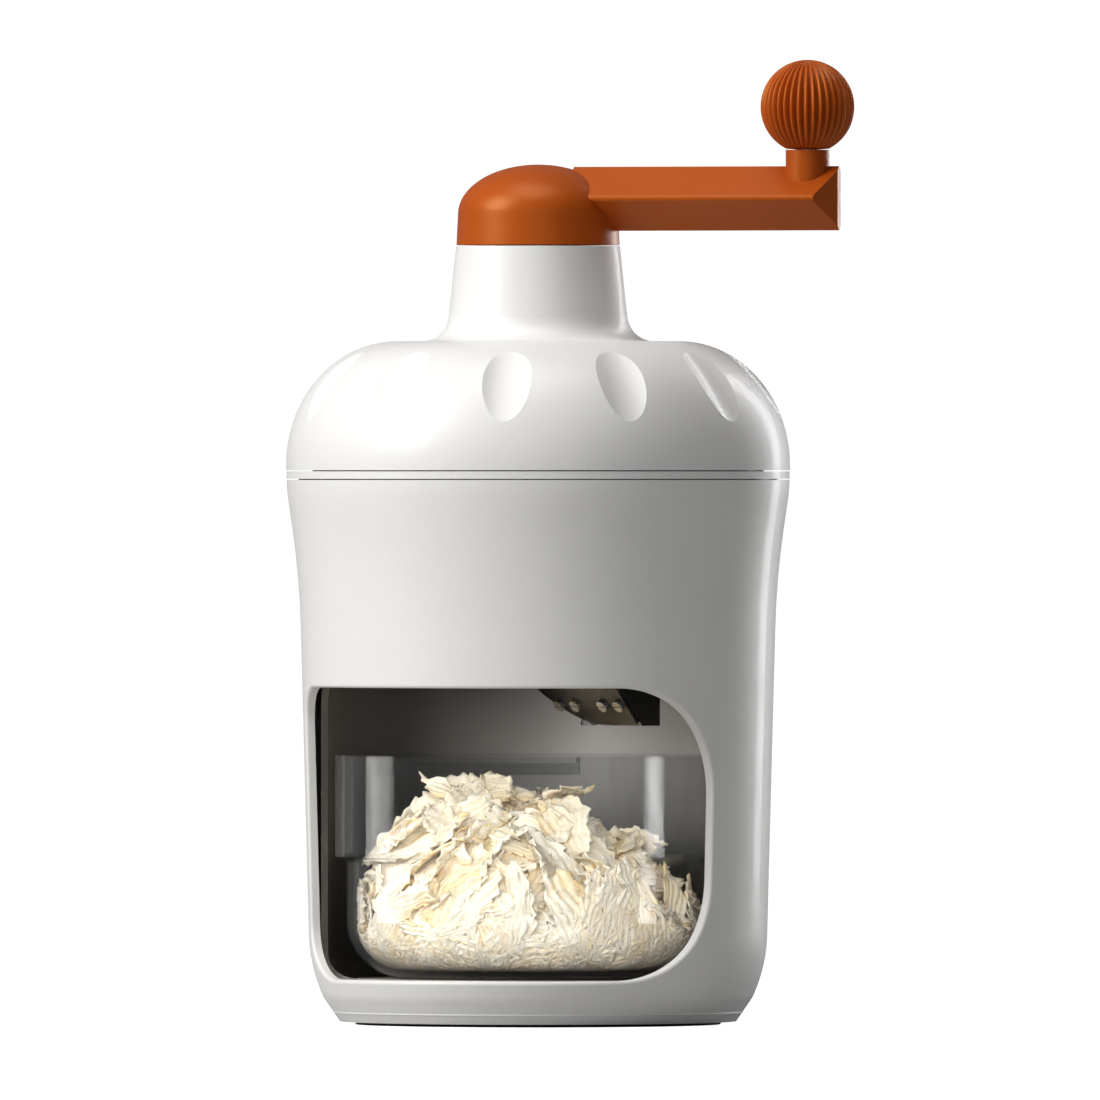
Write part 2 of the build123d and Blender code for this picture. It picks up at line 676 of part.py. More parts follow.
def build_lid():
    """White domed lid with its neck, bush tube, ribs, bayonet lugs and finger scallops."""
    inner_r = LID_R - LID_WALL
    top = CHAMBER_LUG_LOW - GAP
    lugs = ramp_lugs(LID_LUG_INNER_R, inner_r + LID_WALL / 2, top - LID_LUG_HEIGHT, LID_LUG_HEIGHT)
    first = FRONT_ANGLE + SCALLOP_OFFSET
    angles = [first + 360 * step / SCALLOP_COUNT for step in range(SCALLOP_COUNT)]
    cutters = [scallop_cutter(angle) for angle in angles]
    with BuildPart() as lid:
        with BuildSketch(Plane.XZ):
            with BuildLine():
                lid_profile(0, LID_TOP)
            make_face()
            with BuildLine():
                lid_profile(LID_WALL, LID_TOP - NECK_PLATE)
            make_face(mode=Mode.SUBTRACT)
        revolve(axis=Axis.Z)
        add_ring(BUSH_TUBE_LOW, LID_TOP - NECK_PLATE, BUSH_TUBE_R, 0)
        with BuildSketch(Plane.XY.offset(BUSH_TUBE_LOW + BUSH_FLANGE)):
            with PolarLocations(BUSH_TUBE_R + NECK_RIB_LENGTH / 2 - 1, NECK_RIB_COUNT):
                Rectangle(NECK_RIB_LENGTH, NECK_RIB_WIDTH)
        extrude(amount=LID_TOP - NECK_PLATE - BUSH_TUBE_LOW - BUSH_FLANGE)
        add(lugs)
        add_ring(BUSH_TUBE_LOW, LID_TOP, BUSH_R, 0, Mode.SUBTRACT)
        add(cutters, mode=Mode.SUBTRACT)
    lid.part.label = "lid"
    export_step(lid.part, "parts/lid.step")


def build_crank_bush():
    """Flanged bush, pushed up into the lid's tube, that the drive shaft turns in."""
    with BuildPart() as crank_bush:
        add_ring(BUSH_TUBE_LOW, BUSH_TOP, BUSH_R, SHAFT_R + RUNNING)
        add_ring(BUSH_TUBE_LOW - BUSH_FLANGE, BUSH_TUBE_LOW, BUSH_TUBE_R, SHAFT_R + RUNNING)
    crank_bush.part.label = "crank_bush"
    export_step(crank_bush.part, "parts/crank_bush.step")


# Crank ----------------------------------------------------------------------------


def add_hexagon(low, high, flats, mode=Mode.ADD):
    """Add or cut an upright hexagonal bar on the axis, sized across its flats."""
    with BuildSketch(Plane.XY.offset(low)) as section:
        RegularPolygon(flats / 2, 6, major_radius=False)
    extrude(section.sketch, amount=high - low, mode=mode)


def build_crank_arm():
    """Orange crank: domed hub, diamond-section arm with a faceted end, and knob neck."""
    dome_top = HUB_SHOULDER + HUB_DOME_HEIGHT
    with BuildPart() as crank_arm:
        with BuildSketch(Plane.YZ.offset(ARM_ROOT)) as section:
            with BuildLine():
                Polyline(
                    (-ARM_HALF_DEPTH, ARM_MIDDLE),
                    (0, ARM_MIDDLE + ARM_HALF_HEIGHT),
                    (ARM_HALF_DEPTH, ARM_MIDDLE),
                    (0, ARM_MIDDLE - ARM_HALF_HEIGHT),
                    close=True,
                )
            make_face()
            side_ridges = section.vertices().sort_by(Axis.X)
            fillet((side_ridges[0], side_ridges[-1]), ARM_SIDE_RIDGE_R)
        extrude(amount=ARM_END - ARM_ROOT)
        with BuildSketch(radial_plane(180)):
            with BuildLine():
                Line((0, HUB_LOW), (HUB_BASE_R, HUB_LOW))
                Line((HUB_BASE_R, HUB_LOW), (HUB_SHOULDER_R, HUB_SHOULDER))
                EllipticalCenterArc((0, HUB_SHOULDER), HUB_SHOULDER_R, HUB_DOME_HEIGHT, arc_size=90)
                Line((0, dome_top), (0, HUB_LOW))
            make_face()
        revolve(axis=Axis.Z)
        with BuildSketch(Plane.XY.offset(HUB_LOW)):
            with BuildLine():
                Polyline(
                    (-ARM_FACET_START, HUB_BASE_R),
                    (HUB_BASE_R, HUB_BASE_R),
                    (ARM_FACET_START, ARM_HALF_DEPTH),
                    (ARM_END, ARM_END_HALF_WIDTH),
                    (ARM_END, -ARM_END_HALF_WIDTH),
                    (ARM_FACET_START, -ARM_HALF_DEPTH),
                    (HUB_BASE_R, -HUB_BASE_R),
                    (-ARM_FACET_START, -HUB_BASE_R),
                    close=True,
                )
            make_face()
        extrude(amount=2 * (dome_top - HUB_LOW), mode=Mode.INTERSECT)
        add_discs(ARM_MIDDLE, NECK_TOP, NECK_R, [(KNOB_X, 0)])
        add_discs(PIN_LOW, NECK_TOP, PIN_R, [(KNOB_X, 0)], Mode.SUBTRACT)
        add_ring(HUB_LOW, HUB_HOLLOW_TOP, HUB_SHOULDER_R - HUB_WALL, HUB_BOSS_R, Mode.SUBTRACT)
        add_ring(HUB_LOW, HUB_LOW + THRUST_WASHER, HUB_BOSS_R, 0, Mode.SUBTRACT)
        add_hexagon(HUB_LOW, SHAFT_TOP, SHAFT_FLATS, Mode.SUBTRACT)
    crank_arm.part.label = "crank_arm"
    export_step(crank_arm.part, "parts/crank_arm.step")


def build_drive_shaft():
    """Steel shaft: hexagonal for the press plate and the hub, round in the bush."""
    with BuildPart() as drive_shaft:
        add_hexagon(SHAFT_LOW, SHAFT_TOP, SHAFT_FLATS)
        add_ring(SHAFT_ROUND_LOW, SHAFT_HEX_TOP, SHAFT_R, 0)
        add_ring(CLIP_LOW, CLIP_LOW + CLIP_THICKNESS, SHAFT_R + 1, CLIP_GROOVE_R, Mode.SUBTRACT)
        add_ring(SHAFT_LOW, SHAFT_LOW + END_SCREW_LENGTH, END_SCREW_R, 0, Mode.SUBTRACT)
    drive_shaft.part.label = "drive_shaft"
    export_step(drive_shaft.part, "parts/drive_shaft.step")


def build_washers():
    """Thrust washer under the hub, seat washer on the spring, stop washer at the end."""
    end_low = SHAFT_LOW - END_WASHER_THICKNESS
    with BuildPart() as thrust_washer:
        add_ring(HUB_LOW, HUB_LOW + THRUST_WASHER, HUB_BOSS_R, SHAFT_R)
    thrust_washer.part.label = "thrust_washer"
    export_step(thrust_washer.part, "parts/thrust_washer.step")
    with BuildPart() as spring_washer:
        add_ring(SPRING_WASHER_LOW, CLIP_LOW, SPRING_WASHER_R, SHAFT_R)
    spring_washer.part.label = "spring_washer"
    export_step(spring_washer.part, "parts/spring_washer.step")
    with BuildPart() as end_washer:
        add_ring(end_low, SHAFT_LOW, END_WASHER_R, END_SCREW_R)
    end_washer.part.label = "end_washer"
    export_step(end_washer.part, "parts/end_washer.step")


def build_shaft_clip():
    """Open spring clip in the shaft's groove, which keeps the shaft in the lid."""
    with BuildPart() as shaft_clip:
        add_ring(CLIP_LOW, CLIP_LOW + CLIP_THICKNESS, CLIP_R, CLIP_GROOVE_R)
        with BuildSketch(Plane.XY.offset(CLIP_LOW)):
            with Locations((CLIP_R, 0)):
                Rectangle(2 * CLIP_GROOVE_R, CLIP_GAP)
        extrude(amount=CLIP_THICKNESS, mode=Mode.SUBTRACT)
    shaft_clip.part.label = "shaft_clip"
    export_step(shaft_clip.part, "parts/shaft_clip.step")


def build_end_screw():
    """Screw in the shaft's lower end that holds the stop washer."""
    head_top = SHAFT_LOW - END_WASHER_THICKNESS
    head_low = head_top - END_SCREW_HEAD
    with BuildPart() as end_screw:
        add_ring(head_low, head_top, END_SCREW_HEAD_R, 0)
        fillet(end_screw.edges().group_by(Axis.Z)[0], END_SCREW_HEAD / 3)
        add_ring(head_top, SHAFT_LOW + END_SCREW_LENGTH, END_SCREW_R, 0)
        with BuildSketch(Plane.XY.offset(head_low)):
            Rectangle(END_SCREW_HEAD_R, SLOT_WIDTH)
            Rectangle(SLOT_WIDTH, END_SCREW_HEAD_R)
        extrude(amount=2 * SLOT_DEPTH, mode=Mode.SUBTRACT)
    end_screw.part.label = "end_screw"
    export_step(end_screw.part, "parts/end_screw.step")


def build_pressure_spring():
    """Open compression spring round the shaft, between its washer and the press plate."""
    low = PLATE_HUB_TOP + SPRING_WIRE_R
    height = SPRING_WASHER_LOW - SPRING_WIRE_R - low
    with BuildPart() as pressure_spring:
        with BuildLine() as coil:
            Helix(height / SPRING_TURNS, height, SPRING_R, center=(0, 0, low))
        with BuildSketch(Plane(origin=coil.line @ 0, z_dir=coil.line % 0)):
            Circle(SPRING_WIRE_R)
        sweep(path=coil.line, is_frenet=True)
    pressure_spring.part.label = "pressure_spring"
    export_step(pressure_spring.part, "parts/pressure_spring.step")


def build_press_plate():
    """Ribbed disc that slides on the shaft, grips the ice with spikes and presses it."""
    rib_length = PLATE_R - PLATE_HUB_R
    with BuildPart() as press_plate:
        add_ring(PLATE_LOW, PLATE_LOW + PLATE_THICKNESS, PLATE_R, 0)
        add_ring(PLATE_HUB_LOW, PLATE_HUB_TOP, PLATE_HUB_R, 0)
        with BuildSketch(Plane.XY.offset(PLATE_LOW + PLATE_THICKNESS)):
            with PolarLocations(PLATE_HUB_R + rib_length / 2 - 1, PLATE_RIB_COUNT):
                Rectangle(rib_length, PLATE_RIB_WIDTH)
        extrude(amount=PLATE_RIB_HEIGHT)
        for row, radius in enumerate(SPIKE_ROW_RADII):
            start = 180 / SPIKE_COUNT * row
            spikes = polar_places(radius, SPIKE_COUNT, start)
            with Locations(*[(x, y, PLATE_LOW - SPIKE_LENGTH / 2) for x, y in spikes]):
                Cone(SPIKE_TIP_R, SPIKE_R, SPIKE_LENGTH)
        add_hexagon(PLATE_HUB_LOW, PLATE_HUB_TOP, PLATE_HOLE_FLATS, Mode.SUBTRACT)
    press_plate.part.label = "press_plate"
    export_step(press_plate.part, "parts/press_plate.step")


# Knob -----------------------------------------------------------------------------


def groove_cutter():
    """Thin crescent that cuts one upright groove on the +X side of a ball at the origin."""
    start = math.radians(GROOVE_HALF_SWEEP)
    outwards = (math.cos(start), 0, math.sin(start))
    axis = Axis((0, 0, 0), (0, 1, 0))
    side = Plane(origin=(0, 0, 0), x_dir=outwards, z_dir=(math.sin(start), 0, -math.cos(start)))
    depth_r = KNOB_R - GROOVE_DEPTH
    mouth_r = KNOB_R + GROOVE_DEPTH
    with BuildPart() as cutter:
        with BuildSketch(side):
            with BuildLine():
                Polyline(
                    (depth_r, 0),
                    (mouth_r, 2 * GROOVE_HALF_WIDTH),
                    (mouth_r, -2 * GROOVE_HALF_WIDTH),
                    close=True,
                )
            make_face()
        revolve(axis=axis, revolution_arc=2 * GROOVE_HALF_SWEEP)
    return cutter.part


def build_knob():
    """Orange ribbed ball that spins on its pin."""
    groove = groove_cutter()
    middle = Location((KNOB_X, 0, KNOB_MIDDLE))
    turns = [Location((0, 0, 0), (0, 0, 360 * step / KNOB_GROOVES)) for step in range(KNOB_GROOVES)]
    grooves = [groove.moved(middle * turn) for turn in turns]
    with BuildPart() as knob:
        with Locations(middle):
            Sphere(KNOB_R)
        add(grooves, mode=Mode.SUBTRACT)
        add_discs(KNOB_MIDDLE - 2 * KNOB_R, KNOB_LOW, KNOB_R, [(KNOB_X, 0)], Mode.SUBTRACT)
        add_discs(KNOB_LOW, PIN_POCKET_TOP, PIN_R + RUNNING, [(KNOB_X, 0)], Mode.SUBTRACT)
        add_discs(PIN_SHOULDER - GAP, PIN_POCKET_TOP, PIN_HEAD_R + GAP, [(KNOB_X, 0)], Mode.SUBTRACT)
    knob.part.label = "knob"
    export_step(knob.part, "parts/knob.step")


def build_knob_pin():
    """Headed steel pin, pressed into the arm's neck, that the knob spins on."""
    with BuildPart() as knob_pin:
        add_discs(PIN_LOW, PIN_SHOULDER, PIN_R, [(KNOB_X, 0)])
        add_discs(PIN_SHOULDER, PIN_TOP, PIN_HEAD_R, [(KNOB_X, 0)])
    knob_pin.part.label = "knob_pin"
    export_step(knob_pin.part, "parts/knob_pin.step")


# Serving bowl ---------------------------------------------------------------------


def bowl_profile(inset, low, top):
    """Closed half-section of the bowl about its own middle, drawn in by the inset."""
    corner_r = BOWL_CORNER_R - inset
    body_r = BOWL_BODY_R - inset
    rim_r = BOWL_RIM_R - inset
    shoulder = BOWL_SHOULDER + inset / 2
    Line((0, low), (body_r - corner_r, low))
    RadiusArc((body_r - corner_r, low), (body_r, low + corner_r), -corner_r)
    Line((body_r, low + corner_r), (body_r, shoulder))
    Line((body_r, shoulder), (rim_r, shoulder + BOWL_SHOULDER_RISE))
    Line((rim_r, shoulder + BOWL_SHOULDER_RISE), (rim_r, top))
    Line((rim_r, top), (0, top))
    Line((0, top), (0, low))


def build_bowl():
    """Clear serving bowl with a stepped wall and a hooked grip at the front of its rim."""
    middle = (0, -BOWL_FORWARD, 0)
    upright = Plane(origin=middle, x_dir=(1, 0, 0), z_dir=(0, -1, 0))
    half = math.radians(GRIP_HALF_ANGLE)
    reach = GRIP_R * 2
    side, front = reach * math.sin(half), -reach * math.cos(half)
    wedge = [(0, 0), (-side, front), (side, front)]
    with BuildPart() as bowl:
        with BuildSketch(upright):
            with BuildLine():
                bowl_profile(0, BOWL_LOW, BOWL_TOP)
            make_face()
            with BuildLine():
                bowl_profile(BOWL_WALL, BOWL_LOW + BOWL_WALL, BOWL_TOP)
            make_face(mode=Mode.SUBTRACT)
        revolve(axis=Axis(middle, (0, 0, 1)))
        plate = (BOWL_TOP - GRIP_PLATE, BOWL_RIM_R - BOWL_WALL / 2)
        skirt = (GRIP_LOW, GRIP_R - GRIP_SKIRT)
        for low, inner in (plate, skirt):
            with BuildSketch(Plane(origin=(0, -BOWL_FORWARD, low))):
                Circle(GRIP_R)
                Circle(inner, mode=Mode.SUBTRACT)
                with BuildLine():
                    Polyline(*wedge, close=True)
                make_face(mode=Mode.INTERSECT)
            extrude(amount=BOWL_TOP - low)
    bowl.part.label = "bowl"
    export_step(bowl.part, "parts/bowl.step")


build_housing()
build_liner()
build_base_cover()
build_foot_ring()
build_base_screws()
build_ice_chamber()
build_blade_block()
build_blade()
build_blade_screws()
build_block_screws()
build_seal_ring()
build_lid()
build_crank_bush()
build_crank_arm()
build_drive_shaft()
build_washers()
build_shaft_clip()
build_end_screw()
build_pressure_spring()
build_press_plate()
build_knob()
build_knob_pin()
build_bowl()
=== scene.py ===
"""Looks of a hand-crank ice shaver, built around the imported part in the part's own frame."""

import json
import logging
import math
import random
from dataclasses import dataclass, field
from enum import Enum
from typing import Iterable, Sequence, Union

import bmesh
import bpy
from mathutils import Matrix, Vector, noise


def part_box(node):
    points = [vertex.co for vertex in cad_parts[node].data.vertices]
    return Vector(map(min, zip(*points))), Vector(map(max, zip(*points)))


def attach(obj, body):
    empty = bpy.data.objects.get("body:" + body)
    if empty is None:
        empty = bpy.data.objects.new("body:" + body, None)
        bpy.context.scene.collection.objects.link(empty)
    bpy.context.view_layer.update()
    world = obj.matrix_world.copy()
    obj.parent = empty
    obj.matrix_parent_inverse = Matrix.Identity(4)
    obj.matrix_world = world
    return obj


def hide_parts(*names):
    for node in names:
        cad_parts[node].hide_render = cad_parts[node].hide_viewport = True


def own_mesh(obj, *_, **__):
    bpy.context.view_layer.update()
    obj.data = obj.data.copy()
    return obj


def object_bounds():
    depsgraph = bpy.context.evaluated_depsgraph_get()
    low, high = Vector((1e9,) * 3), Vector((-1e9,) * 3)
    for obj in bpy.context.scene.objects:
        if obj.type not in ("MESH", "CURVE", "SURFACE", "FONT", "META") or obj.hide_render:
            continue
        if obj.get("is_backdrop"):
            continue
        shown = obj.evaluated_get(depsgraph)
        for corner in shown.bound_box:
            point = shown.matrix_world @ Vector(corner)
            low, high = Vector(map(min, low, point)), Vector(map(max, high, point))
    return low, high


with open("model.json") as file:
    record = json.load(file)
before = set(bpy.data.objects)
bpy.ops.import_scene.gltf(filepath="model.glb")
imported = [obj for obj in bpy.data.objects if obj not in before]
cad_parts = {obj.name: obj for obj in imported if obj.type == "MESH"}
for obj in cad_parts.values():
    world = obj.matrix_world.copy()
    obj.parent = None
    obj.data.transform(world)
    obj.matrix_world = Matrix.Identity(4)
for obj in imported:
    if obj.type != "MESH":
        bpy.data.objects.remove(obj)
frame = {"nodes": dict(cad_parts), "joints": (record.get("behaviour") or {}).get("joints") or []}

logging.basicConfig(level=logging.INFO, format="%(message)s")
LOG = logging.getLogger("ice_shaver")

MM = 0.001
Number = Union[int, float]
Colour = tuple[float, float, float, float]


# Shader maths ---------------------------------------------------------------------


class Signal:
    """A number or colour inside a material that Python's operators can combine."""

    def __init__(self, recipe: "Recipe", socket: bpy.types.NodeSocket) -> None:
        """Wraps a node's output socket of one material.

        Args:
            recipe: The material that the socket belongs to.
            socket: The output that carries the value.
        """
        self.recipe = recipe
        self.socket = socket

    def _math(self, operation: str, first: "Operand", second: "Operand") -> "Signal":
        """Adds one Math node.

        Args:
            operation: The Math node's operation.
            first: The left operand.
            second: The right operand.

        Returns:
            The node's value.
        """
        return self.recipe.node("ShaderNodeMath", {"operation": operation}, {0: first, 1: second})

    def __add__(self, other: "Operand") -> "Signal":
        """Sum with a value on the right."""
        return self._math("ADD", self, other)

    def __radd__(self, other: "Operand") -> "Signal":
        """Sum with a value on the left."""
        return self._math("ADD", other, self)

    def __sub__(self, other: "Operand") -> "Signal":
        """Difference from a value on the right."""
        return self._math("SUBTRACT", self, other)

    def __rsub__(self, other: "Operand") -> "Signal":
        """Difference from a value on the left."""
        return self._math("SUBTRACT", other, self)

    def __mul__(self, other: "Operand") -> "Signal":
        """Product with a value on the right."""
        return self._math("MULTIPLY", self, other)

    def __rmul__(self, other: "Operand") -> "Signal":
        """Product with a value on the left."""
        return self._math("MULTIPLY", other, self)

    def __pow__(self, other: "Operand") -> "Signal":
        """Power."""
        return self._math("POWER", self, other)

    def at_least(self, other: "Operand") -> "Signal":
        """The larger of the two values."""
        return self._math("MAXIMUM", self, other)


Operand = Union[Signal, Number]


class Recipe:
    """One node-based material while it is being written."""

    def __init__(self, name: str) -> None:
        """Starts an empty material.

        Args:
            name: The material's name.
        """
        self.material = bpy.data.materials.new(name)
        self.material.use_nodes = True
        self.tree = self.material.node_tree
        self.tree.nodes.clear()
        self.end = self.tree.nodes.new("ShaderNodeOutputMaterial")

    def node(self, kind: str, settings: dict, inputs: dict, output: Union[int, str] = 0) -> Signal:
        """Adds any node.

        Args:
            kind: The node's type.
            settings: The node's own settings; "stops" fills a colour ramp.
            inputs: Values or signals by socket name or number.
            output: The output to hand back.

        Returns:
            The chosen output.
        """
        made = self.tree.nodes.new(kind)
        for name, value in settings.items():
            if name == "stops":
                self._fill_ramp(made.color_ramp, value)
            else:
                setattr(made, name, value)
        for key, value in inputs.items():
            if isinstance(value, Signal):
                self.tree.links.new(value.socket, made.inputs[key])
            else:
                made.inputs[key].default_value = value
        return Signal(self, made.outputs[output])

    @staticmethod
    def _fill_ramp(ramp: bpy.types.ColorRamp, stops: Sequence[tuple[float, Colour]]) -> None:
        """Sets a ramp's stops.

        Args:
            ramp: The ramp.
            stops: Place and colour of each stop, in order.
        """
        while len(ramp.elements) < len(stops):
            ramp.elements.new(1.0)
        for element, (place, colour) in zip(ramp.elements, stops):
            element.position = place
            element.color = colour

    def place(self, stretch: tuple[float, float, float] = (1, 1, 1)) -> Signal:
        """The point on the piece, in metres, stretched along its axes.

        Args:
            stretch: Factor on each axis.

        Returns:
            The point.
        """
        point = self.node("ShaderNodeTexCoord", {}, {}, "Object")
        return self.node("ShaderNodeVectorMath", {"operation": "MULTIPLY"}, {0: point, 1: stretch})

    def grain(self, point: Signal, per_metre: float, detail: float = 2.0) -> Signal:
        """Noise over the piece, from 0 to 1.

        Args:
            point: Where it is read.
            per_metre: How many grains a metre holds.
            detail: Octaves.

        Returns:
            The noise.
        """
        return self.node("ShaderNodeTexNoise", {}, {"Vector": point, "Scale": per_metre, "Detail": detail})

    def blend(self, factor: Signal, low: Colour, high: Colour) -> Signal:
        """A colour between two, by a factor.

        Args:
            factor: 0 for low, 1 for high.
            low: First colour.
            high: Second colour.

        Returns:
            The colour.
        """
        settings = {"data_type": "RGBA"}
        return self.node("ShaderNodeMix", settings, {0: factor, 6: low, 7: high}, 2)

    def bump(self, height: Signal, strength: float, depth: float) -> Signal:
        """A normal that follows a height.

        Args:
            height: The height, from 0 to 1.
            strength: How much of it shows.
            depth: Depth of the whole height in metres.

        Returns:
            The normal.
        """
        return self.node("ShaderNodeBump", {}, {"Strength": strength, "Distance": depth, "Height": height})

    def surface(self, inputs: dict) -> bpy.types.Material:
        """Ends the material in a Principled shader.

        Args:
            inputs: Values or signals of its sockets.

        Returns:
            The finished material.
        """
        shader = self.node("ShaderNodeBsdfPrincipled", {}, inputs)
        self.tree.links.new(shader.socket, self.end.inputs["Surface"])
        return self.material


def rgb(red: float, green: float, blue: float) -> Colour:
    """A linear colour with full opacity."""
    return (red, green, blue, 1.0)


# Finishes -------------------------------------------------------------------------


@dataclass(frozen=True)
class MouldedPlastic:
    """Injection-moulded plastic with a spark-eroded grain and a slow mottling."""

    name: str
    colour: Colour
    mottled: Colour
    roughness: float
    coat: float
    grain_depth: float
    subsurface: float = 0.0
    shine: float = 0.5
    sheen_tint: Colour = (1.0, 1.0, 1.0, 1.0)
    grains_per_metre: float = 2600.0

    def material(self) -> bpy.types.Material:
        """Writes the plastic.

        Returns:
            The material.
        """
        recipe = Recipe(self.name)
        point = recipe.place()
        slow = recipe.grain(point, 38.0, 3.0)
        fine = recipe.grain(point, self.grains_per_metre, 2.0)
        smudge = recipe.grain(point, 95.0, 4.0)
        return recipe.surface(
            {
                "Base Color": recipe.blend(slow, self.colour, self.mottled),
                "Roughness": (smudge - 0.5) * 0.12 + (fine - 0.5) * 0.08 + self.roughness,
                "Coat Weight": self.coat,
                "Coat Roughness": 0.12,
                "Specular IOR Level": self.shine,
                "Specular Tint": self.sheen_tint,
                "Subsurface Weight": self.subsurface,
                "Subsurface Radius": (1.0, 0.9, 0.8),
                "Subsurface Scale": 0.0015,
                "Normal": recipe.bump(fine, 0.35, self.grain_depth),
            }
        )


@dataclass(frozen=True)
class ClearPlastic:
    """Clear polished plastic: see-through face on, glossy where it turns away, with a dark grey base colour there
    that paints the dark edge shade.
    """

    name: str = "clear_bowl"
    # Painted shade: dark grey base colour that shows where the bowl turns away, for the dark lines along its edges
    body: Colour = (0.1, 0.102, 0.105, 1.0)
    passed: Colour = (0.985, 0.99, 0.99, 1.0)
    roughness: float = 0.03

    def material(self) -> bpy.types.Material:
        """Writes the clear plastic.

        Returns:
            The material.
        """
        recipe = Recipe(self.name)
        marks = recipe.grain(recipe.place((1, 1, 0.25)), 160.0, 5.0)
        swirl = recipe.grain(recipe.place((1, 1, 0.08)), 70.0, 1.0)
        normal = recipe.bump(swirl, 0.06, 0.0004)
        # Glossy layer: real reflections over the dark grey base colour that paints the edge shade
        gloss_and_edge_shade = recipe.node(
            "ShaderNodeBsdfPrincipled",
            {},
            {
                "Base Color": self.body,
                "Roughness": (marks - 0.5).at_least(0.0) * 0.2 + self.roughness,
                "IOR": 1.49,
                "Specular IOR Level": 1.0,
                "Coat Weight": 1.0,
                "Coat Roughness": 0.03,
                "Normal": normal,
            },
        )
        clear = recipe.node("ShaderNodeBsdfTransparent", {}, {"Color": self.passed})
        turned = recipe.node("ShaderNodeLayerWeight", {}, {"Blend": 0.5, "Normal": normal}, "Facing")
        # More of the glossy layer, with its painted edge shade, where the surface turns away
        share = turned ** 4.0 * 0.95 + (marks - 0.52).at_least(0.0) * 0.2 + 0.045
        mixed = recipe.node("ShaderNodeMixShader", {}, {0: share, 1: clear, 2: gloss_and_edge_shade})
        recipe.tree.links.new(mixed.socket, recipe.end.inputs["Surface"])
        return recipe.material


@dataclass(frozen=True)
class SmokedPlastic:
    """Dark, glossy, slightly see-through plastic of the blade carrier."""

    name: str = "smoked_block"
    colour: Colour = (0.012, 0.012, 0.012, 1.0)

    def material(self) -> bpy.types.Material:
        """Writes the smoked plastic.

        Returns:
            The material.
        """
        recipe = Recipe(self.name)
        point = recipe.place()
        wear = recipe.grain(point, 420.0, 4.0)
        slow = recipe.grain(point, 60.0, 2.0)
        return recipe.surface(
            {
                "Base Color": recipe.blend(slow, self.colour, rgb(0.02, 0.019, 0.018)),
                "Roughness": wear * 0.1 + 0.1,
                "Transmission Weight": 0.12,
                "IOR": 1.49,
                "Coat Weight": 0.6,
                "Coat Roughness": 0.05,
                "Normal": recipe.bump(slow, 0.15, 0.0003),
            }
        )


@dataclass(frozen=True)
class BrushedSteel:
    """Stainless steel with fine brushing lines along one axis."""

    name: str = "brushed_steel"
    colour: Colour = (0.62, 0.615, 0.6, 1.0)
    worn: Colour = (0.5, 0.495, 0.485, 1.0)
    lines: tuple[float, float, float] = (0.06, 1.0, 1.0)

    def material(self) -> bpy.types.Material:
        """Writes the steel.

        Returns:
            The material.
        """
        recipe = Recipe(self.name)
        scratch = recipe.grain(recipe.place(self.lines), 3200.0, 3.0)
        cloud = recipe.grain(recipe.place(), 120.0, 3.0)
        return recipe.surface(
            {
                "Base Color": recipe.blend(cloud, self.colour, self.worn),
                "Metallic": 1.0,
                "Roughness": scratch * 0.22 + cloud * 0.1 + 0.1,
                "Normal": recipe.bump(scratch, 0.25, 0.00005),
            }
        )


@dataclass(frozen=True)
class SoftRubber:
    """Matt elastomer with a dusty bloom, for the feet and the seal."""

    name: str
    colour: Colour
    bloom: Colour
    roughness: float

    def material(self) -> bpy.types.Material:
        """Writes the rubber.

        Returns:
            The material.
        """
        recipe = Recipe(self.name)
        point = recipe.place()
        dust = recipe.grain(point, 240.0, 5.0)
        pores = recipe.grain(point, 3400.0, 2.0)
        return recipe.surface(
            {
                "Base Color": recipe.blend(dust ** 2.0, self.colour, self.bloom),
                "Roughness": dust * 0.2 + self.roughness,
                "Normal": recipe.bump(pores, 0.5, 0.0001),
            }
        )


@dataclass(frozen=True)
class FrozenMilk:
    """Shaved milk ice: cream sheets with painted warm shade in their crevices, and light inside them."""

    name: str = "shaved_ice"
    crest: Colour = (0.96, 0.885, 0.745, 1.0)
    # Painted shade: the warm, darker colour laid into crevices and low sheet edges
    crevice_shade: Colour = (0.9, 0.68, 0.38, 1.0)

    def material(self) -> bpy.types.Material:
        """Writes the shaved ice.

        Returns:
            The material.
        """
        recipe = Recipe(self.name)
        point = recipe.place()
        depth = recipe.node("ShaderNodeAttribute", {"attribute_name": IcePile.SHADE_DEPTH}, {}, "Fac")
        patches = recipe.grain(point, 90.0, 4.0)
        crystals = recipe.grain(point, 1500.0, 4.0)
        # Painted crevice shade from each point's depth, mixed with random patches of tone
        tone_and_crevice_shade = recipe.node(
            "ShaderNodeMapRange",
            {"clamp": True},
            {"Value": depth * 0.75 + patches * 0.75, "From Min": 0.38, "From Max": 0.95},
        )
        return recipe.surface(
            {
                "Base Color": recipe.blend(tone_and_crevice_shade, self.crest, self.crevice_shade),
                "Roughness": crystals * 0.3 + 0.35,
                "Subsurface Weight": 0.3,
                "Subsurface Radius": (1.0, 0.95, 0.9),
                "Subsurface Scale": 0.001,
                "Normal": recipe.bump(crystals, 0.5, 0.0004),
            }
        )


class Finish(Enum):
    """The shaver's finishes, each with the record's material slot it stands for."""

    WHITE = "white_plastic"
    ORANGE = "orange_plastic"
    LINER = "dark_liner"
    BLOCK = "dark_block"
    CLEAR = "clear_bowl"
    STEEL = "steel"
    BLADE = "blade_steel"
    RUBBER = "rubber"
    SILICONE = "silicone"
    BUSH = "bush_plastic"
    ICE = "shaved_ice"


